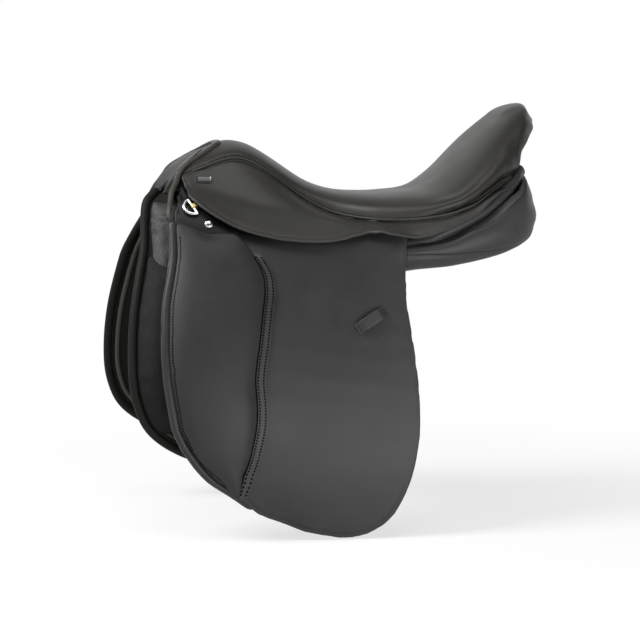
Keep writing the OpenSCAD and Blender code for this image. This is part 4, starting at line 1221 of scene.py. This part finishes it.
def slanted(co):
    """Lowers the point pocket's mouth, more at its rear end."""
    low = ease(co[:, 2], 0.06, 0.026)
    return shifted(co, y=0.012 * low, z=-low * (0.022 + 0.012 * ease(co[:, 0], 0.28, 0.25)))


def build_sweat_flaps():
    # The sweat flaps and their edge roll get the darkened panel leather: painted shade
    soft_pair("sweat_leather_painted_shade", "sweat_flap", "panel_leather", look="sweat_leather_painted_shade", fit=lean_forward,
              rim=0.9 * MM)
    soft_piece("sweat_edge_roll", "sweat_piping", "piping_leather", look="sweat_leather_painted_shade", swell=1.4 * MM,
               fits=[lean_forward])

    rim = smooth_line(outline_of(["sweat_flap_near"], OUT), 4 * MM)
    piping = surface(NODES["sweat_piping"])
    piped = np.array([piping.find_nearest(Vector(p))[3] < 7 * MM for p in rim])
    start = next(i for i in range(len(rim)) if piped[i] and not piped[i - 1])
    run, piped = np.roll(rim, -start, axis=0), np.roll(piped, -start)
    run = run[:int(np.argmin(piped))]
    inwards = units((rim.mean(0) - run) * (1, 0, 1))
    for name, sunk in (("sweat_bead", 0.5 * MM), ("sweat_lining_bead", 6 * MM)):
        bead = cord(name, run + inwards * 7.5 * MM - (0, sunk, 0), 3.0 * MM, "piping_leather")
        pair(bead, "saddle", fit=lean_forward)

    # The knee block gets the darker copy of the grain leather: painted shade
    soft_pair("knee_block_leather", "knee_block", "grain_leather", 0.7, look="block_leather_painted_shade",
              swell=lambda co: 0.9 * MM * noise_at(co, (0.03, 0.03, 0.014), 4))
    soft_pair("point_pocket_leather", "point_pocket", "grain_leather", 0.7, fit=lean_forward, levels=3,
              swell=lambda co: 0.8 * MM * noise_at(co, (0.012, 0.012, 0.006), 8), fits=[slanted])


# The roll of the rear panel, in mm: places along X, and how far each moves forward or up
ROLL_FORWARD_MM = ((-205, -195, -181, -165, -150, -134, -116, -60, -40), (15, 12, 10, 7, 4, 2, 0, 0, 9))
ROLL_UP_MM = ((-205, -181, -165, -150, -134, -116, -102, -88, -73, -58, -44),
              (21, 17, 17, 15, 11, 8, 5, 3, 1, -2, -4))


def round_end(co):
    """Rounds the rear end of the panel, below the lifted leather."""
    x, _, z = co.T
    rear = ease(x, -0.175, -0.205)
    forward = 0.010 * rear * ease(z, 0.090, 0.115)
    forward -= 0.006 * ease(x, -0.14, -0.18) * ease(z, 0.062, 0.040)
    forward -= 0.005 * rear * ease(z, 0.040, 0.066) * ease(z, 0.092, 0.070)
    return shifted(co, x=forward, z=0.008 * rear * ease(z, 0.085, 0.112))


def against_seat(co):
    """Moves the roll outwards, and its rear half up along the skirt to the cantle."""
    at = co[:, 0] / MM
    outwards = (2.5 * MM - 6 * MM * ease(at, -70, -45)) * np.sign(co[:, 1])
    return shifted(co, MM * np.interp(at, *ROLL_FORWARD_MM), outwards, MM * np.interp(at, *ROLL_UP_MM))


def build_panels():
    soft_pair("panel_leather", "panel", "panel_leather", 0.8, fits=(lift_rear, round_end),
              swell=lambda co: 0.5 * MM * noise_at(co, 0.04, 5))
    edges = sorted(long_edges(["panel_gusset_near"], OUT, axis=0), key=lambda edge: -edge[:, 2].mean())
    by_x = [edge[np.argsort(edge[:, 0])] for edge in edges]

    def close_to_roll(co):
        """Raises the gusset's upper edge to the roll, and swells the gusset between its edges."""
        x, y, z = co.T
        top, low = (np.interp(x, edge[:, 0], edge[:, 2]) for edge in by_x)
        down = np.clip((top - z) / np.maximum(top - low, 1 * MM), 0, 1)
        raised = 6 * MM + 7 * MM * ease(x, -0.085, -0.115) * ease(x, -0.205, -0.185)
        swell = np.sin(math.pi * down ** 0.8) * ease(y, 0.088, 0.092) * ease(x, -0.212, -0.185)
        moved = shifted(co, 14 * MM * ease(x, -0.085, -0.055), 6 * MM * swell, raised * (1 - down) ** 3)
        return round_end(lift_rear(moved))

    upper, lower = (between(*edges, share, 1 * MM) for share in (0, 1))
    count = min(len(upper), len(lower))
    upper, lower = (line[np.linspace(0, len(line) - 1, count).astype(int)] for line in (upper, lower))
    share = np.clip(0.36 + 0.85 * np.linspace(0, 1, count), 0, 0.97)[:, None]
    seam = upper * (1 - share) + lower * share
    seam_loop = np.vstack([seam, seam[::-1]])[:, [0, 2]]

    def quilted(co):
        """Draws the gusset in along its seam."""
        near = depth_in(co[:, [0, 2]], seam_loop)
        return 0.4 * MM * noise_at(co, (0.02, 0.02, 0.03), 6) - 1.0 * MM * np.exp(-(near / (2.2 * MM)) ** 2)

    gusset = soft_pair("gusset_leather", "panel_gusset", "panel_leather", 0.7, levels=3, rim=0.8 * MM,
                       swell=quilted, fits=[close_to_roll])
    on_gusset = surface(gusset)
    rows = [drop(close_to_roll(line), on_gusset, -OUT)
            for line in (seam + (0, 0, 1.8 * MM), between(*edges, 0.10, 1 * MM))]
    pair(stitches("gusset_stitches", rows, GUSSET_STITCH), "saddle")

    soft_piece("rear_roll", "panel_roll", "panel_leather", 0.8, fits=[against_seat],
               swell=lambda co: 1.6 * MM + 0.5 * MM * noise_at(co, (0.007, 0.03, 0.012), 7))
    middle = against_seat(smooth_line(centre_line("panel_roll", 14 * MM), 4 * MM))
    packing = cord("roll_packing", middle + (0, -7 * MM, -1 * MM), 8 * MM, "panel_leather")
    pair(packing, "saddle")


def build_straps():
    for place in ("front", "rear"):
        node = f"girth_strap_{place}"
        strap = leather_sheet(node + "_leather", [node + "_near"], "strap_leather",
                              thick=4 * MM, crease=3 * MM, rounds=10, keep_holes=True)
        pair(strap, f"{place}_strap", [node])


# Fittings

KEEPER_THICK = 2.2 * MM
PLATE_PROFILE = ((1.0, 0.0), (1.0, 0.6), (0.97, 1.0), (0.90, 1.0), (0.87, 0.55), (0.40, 0.5))
NAIL_DOME = ((1.0, 0.0), (1.0, 0.25), (0.93, 0.48), (0.76, 0.75), (0.48, 0.94), (0.15, 1.0))


def build_staples():
    """A narrow brass staple over the bar of each dee ring."""
    def narrow(co):
        moved = co.copy()
        for side, sign in (("near", 1), ("off", -1)):
            pivot, axis = (np.array(part) for part in hinge(f"dee_swing_{side}"))
            on = co[:, 1] * sign > 0
            moved[on] -= 0.5 * ((co[on] - pivot) @ axis)[:, None] * axis
        return moved

    soft_piece("dee_staple", "dee_chapes", "brass", levels=1, rim=0.4 * MM, fits=[narrow])


def build_keepers():
    """A leaf-shaped loop on each flap for the end of the stirrup leather."""
    centre, long, wide, normal, size = own_axes("keeper_near")
    foot = centre - normal * size[2] / 2

    def rise(t):
        """Height of the loop's underside at a share of its half length."""
        return (size[2] - KEEPER_THICK - 0.4 * MM) * float(ease(abs(t), 1.0, 0.45))

    rings = []
    for t in np.linspace(-1, 1, 41):
        half = size[1] / 2 * (0.84 + 0.06 * (1 - t * t))
        taper = 0.90 + 0.10 * float(ease(abs(t), 1.0, 0.95))
        middle = foot + long * (t * size[0] / 2) + normal * (rise(t) + KEEPER_THICK / 2)
        rings.append([middle + wide * a + normal * b
                      for a, b in rounded_ring(half * taper, KEEPER_THICK / 2 * taper, 5, 28)])
    pair(loft("keeper_loop", [rings], "strap_leather"), "flap_body", ["keeper"])
    sewn = []
    for end in (-0.84, 0.84):
        middle = foot + long * (end * size[0] / 2) + normal * (rise(end) + KEEPER_THICK)
        sewn.append([(middle + wide * w, normal) for w in np.linspace(-0.36, 0.36, 12) * size[1]])
    pair(stitches("keeper_stitches", sewn, KEEPER_STITCH), "flap_body")


def build_plates():
    """A plain raised-rim plate on each skirt."""
    centre, long, wide, normal, size = own_axes("name_plates")
    foot = centre - normal * size[2] / 2
    rings = []
    for share, height in PLATE_PROFILE:
        inset_by = (1 - share) * size[1] / 2
        rings.append([foot + long * a + wide * b + normal * (height * size[2])
                      for a, b in rounded_ring(size[0] / 2 - inset_by, size[1] / 2 - inset_by, 6, 48)])
    both_for(loft("skirt_plate", [rings], "gunmetal"), "name_plates")


def build_nails():
    """A domed nail head on the top of each flap."""
    centre, _, _, normal, size = own_axes("saddle_nails")
    radius, height = float(size[0]) / 2, float(size[2])
    side = normal.orthogonal().normalized()
    foot = centre - normal * height / 2
    rings = [circle(foot + normal * (height * h), side, normal.cross(side), radius * r, NAIL_SIDES)
             for r, h in NAIL_DOME]
    both_for(loft("nail_head", [rings], "chrome"), "saddle_nails")


def finish_cad_nodes():
    """Materials for the solids that stay as they are."""
    kept = {
        "beech": ("tree_frame", "tree_head"),
        "steel": ("head_plate", "gullet_plate", "tree_springs", "tree_rivets", "stirrup_bar_near",
                  "stirrup_bar_off", "bar_catch_near", "bar_catch_off"),
        "chrome": ("dee_ring_near", "dee_ring_off"),
    }
    for slot, nodes in kept.items():
        for node in nodes:
            mesh = NODES[node].data
            mesh.materials.clear()
            mesh.materials.append(MATERIALS[slot])


add_camera()
MATERIALS = make_materials()
add_stage()
build_seat()
build_cantle()
build_pommel()
build_skirts()
build_flaps()
build_sweat_flaps()
build_panels()
build_straps()
build_staples()
build_keepers()
build_plates()
build_nails()
finish_cad_nodes()
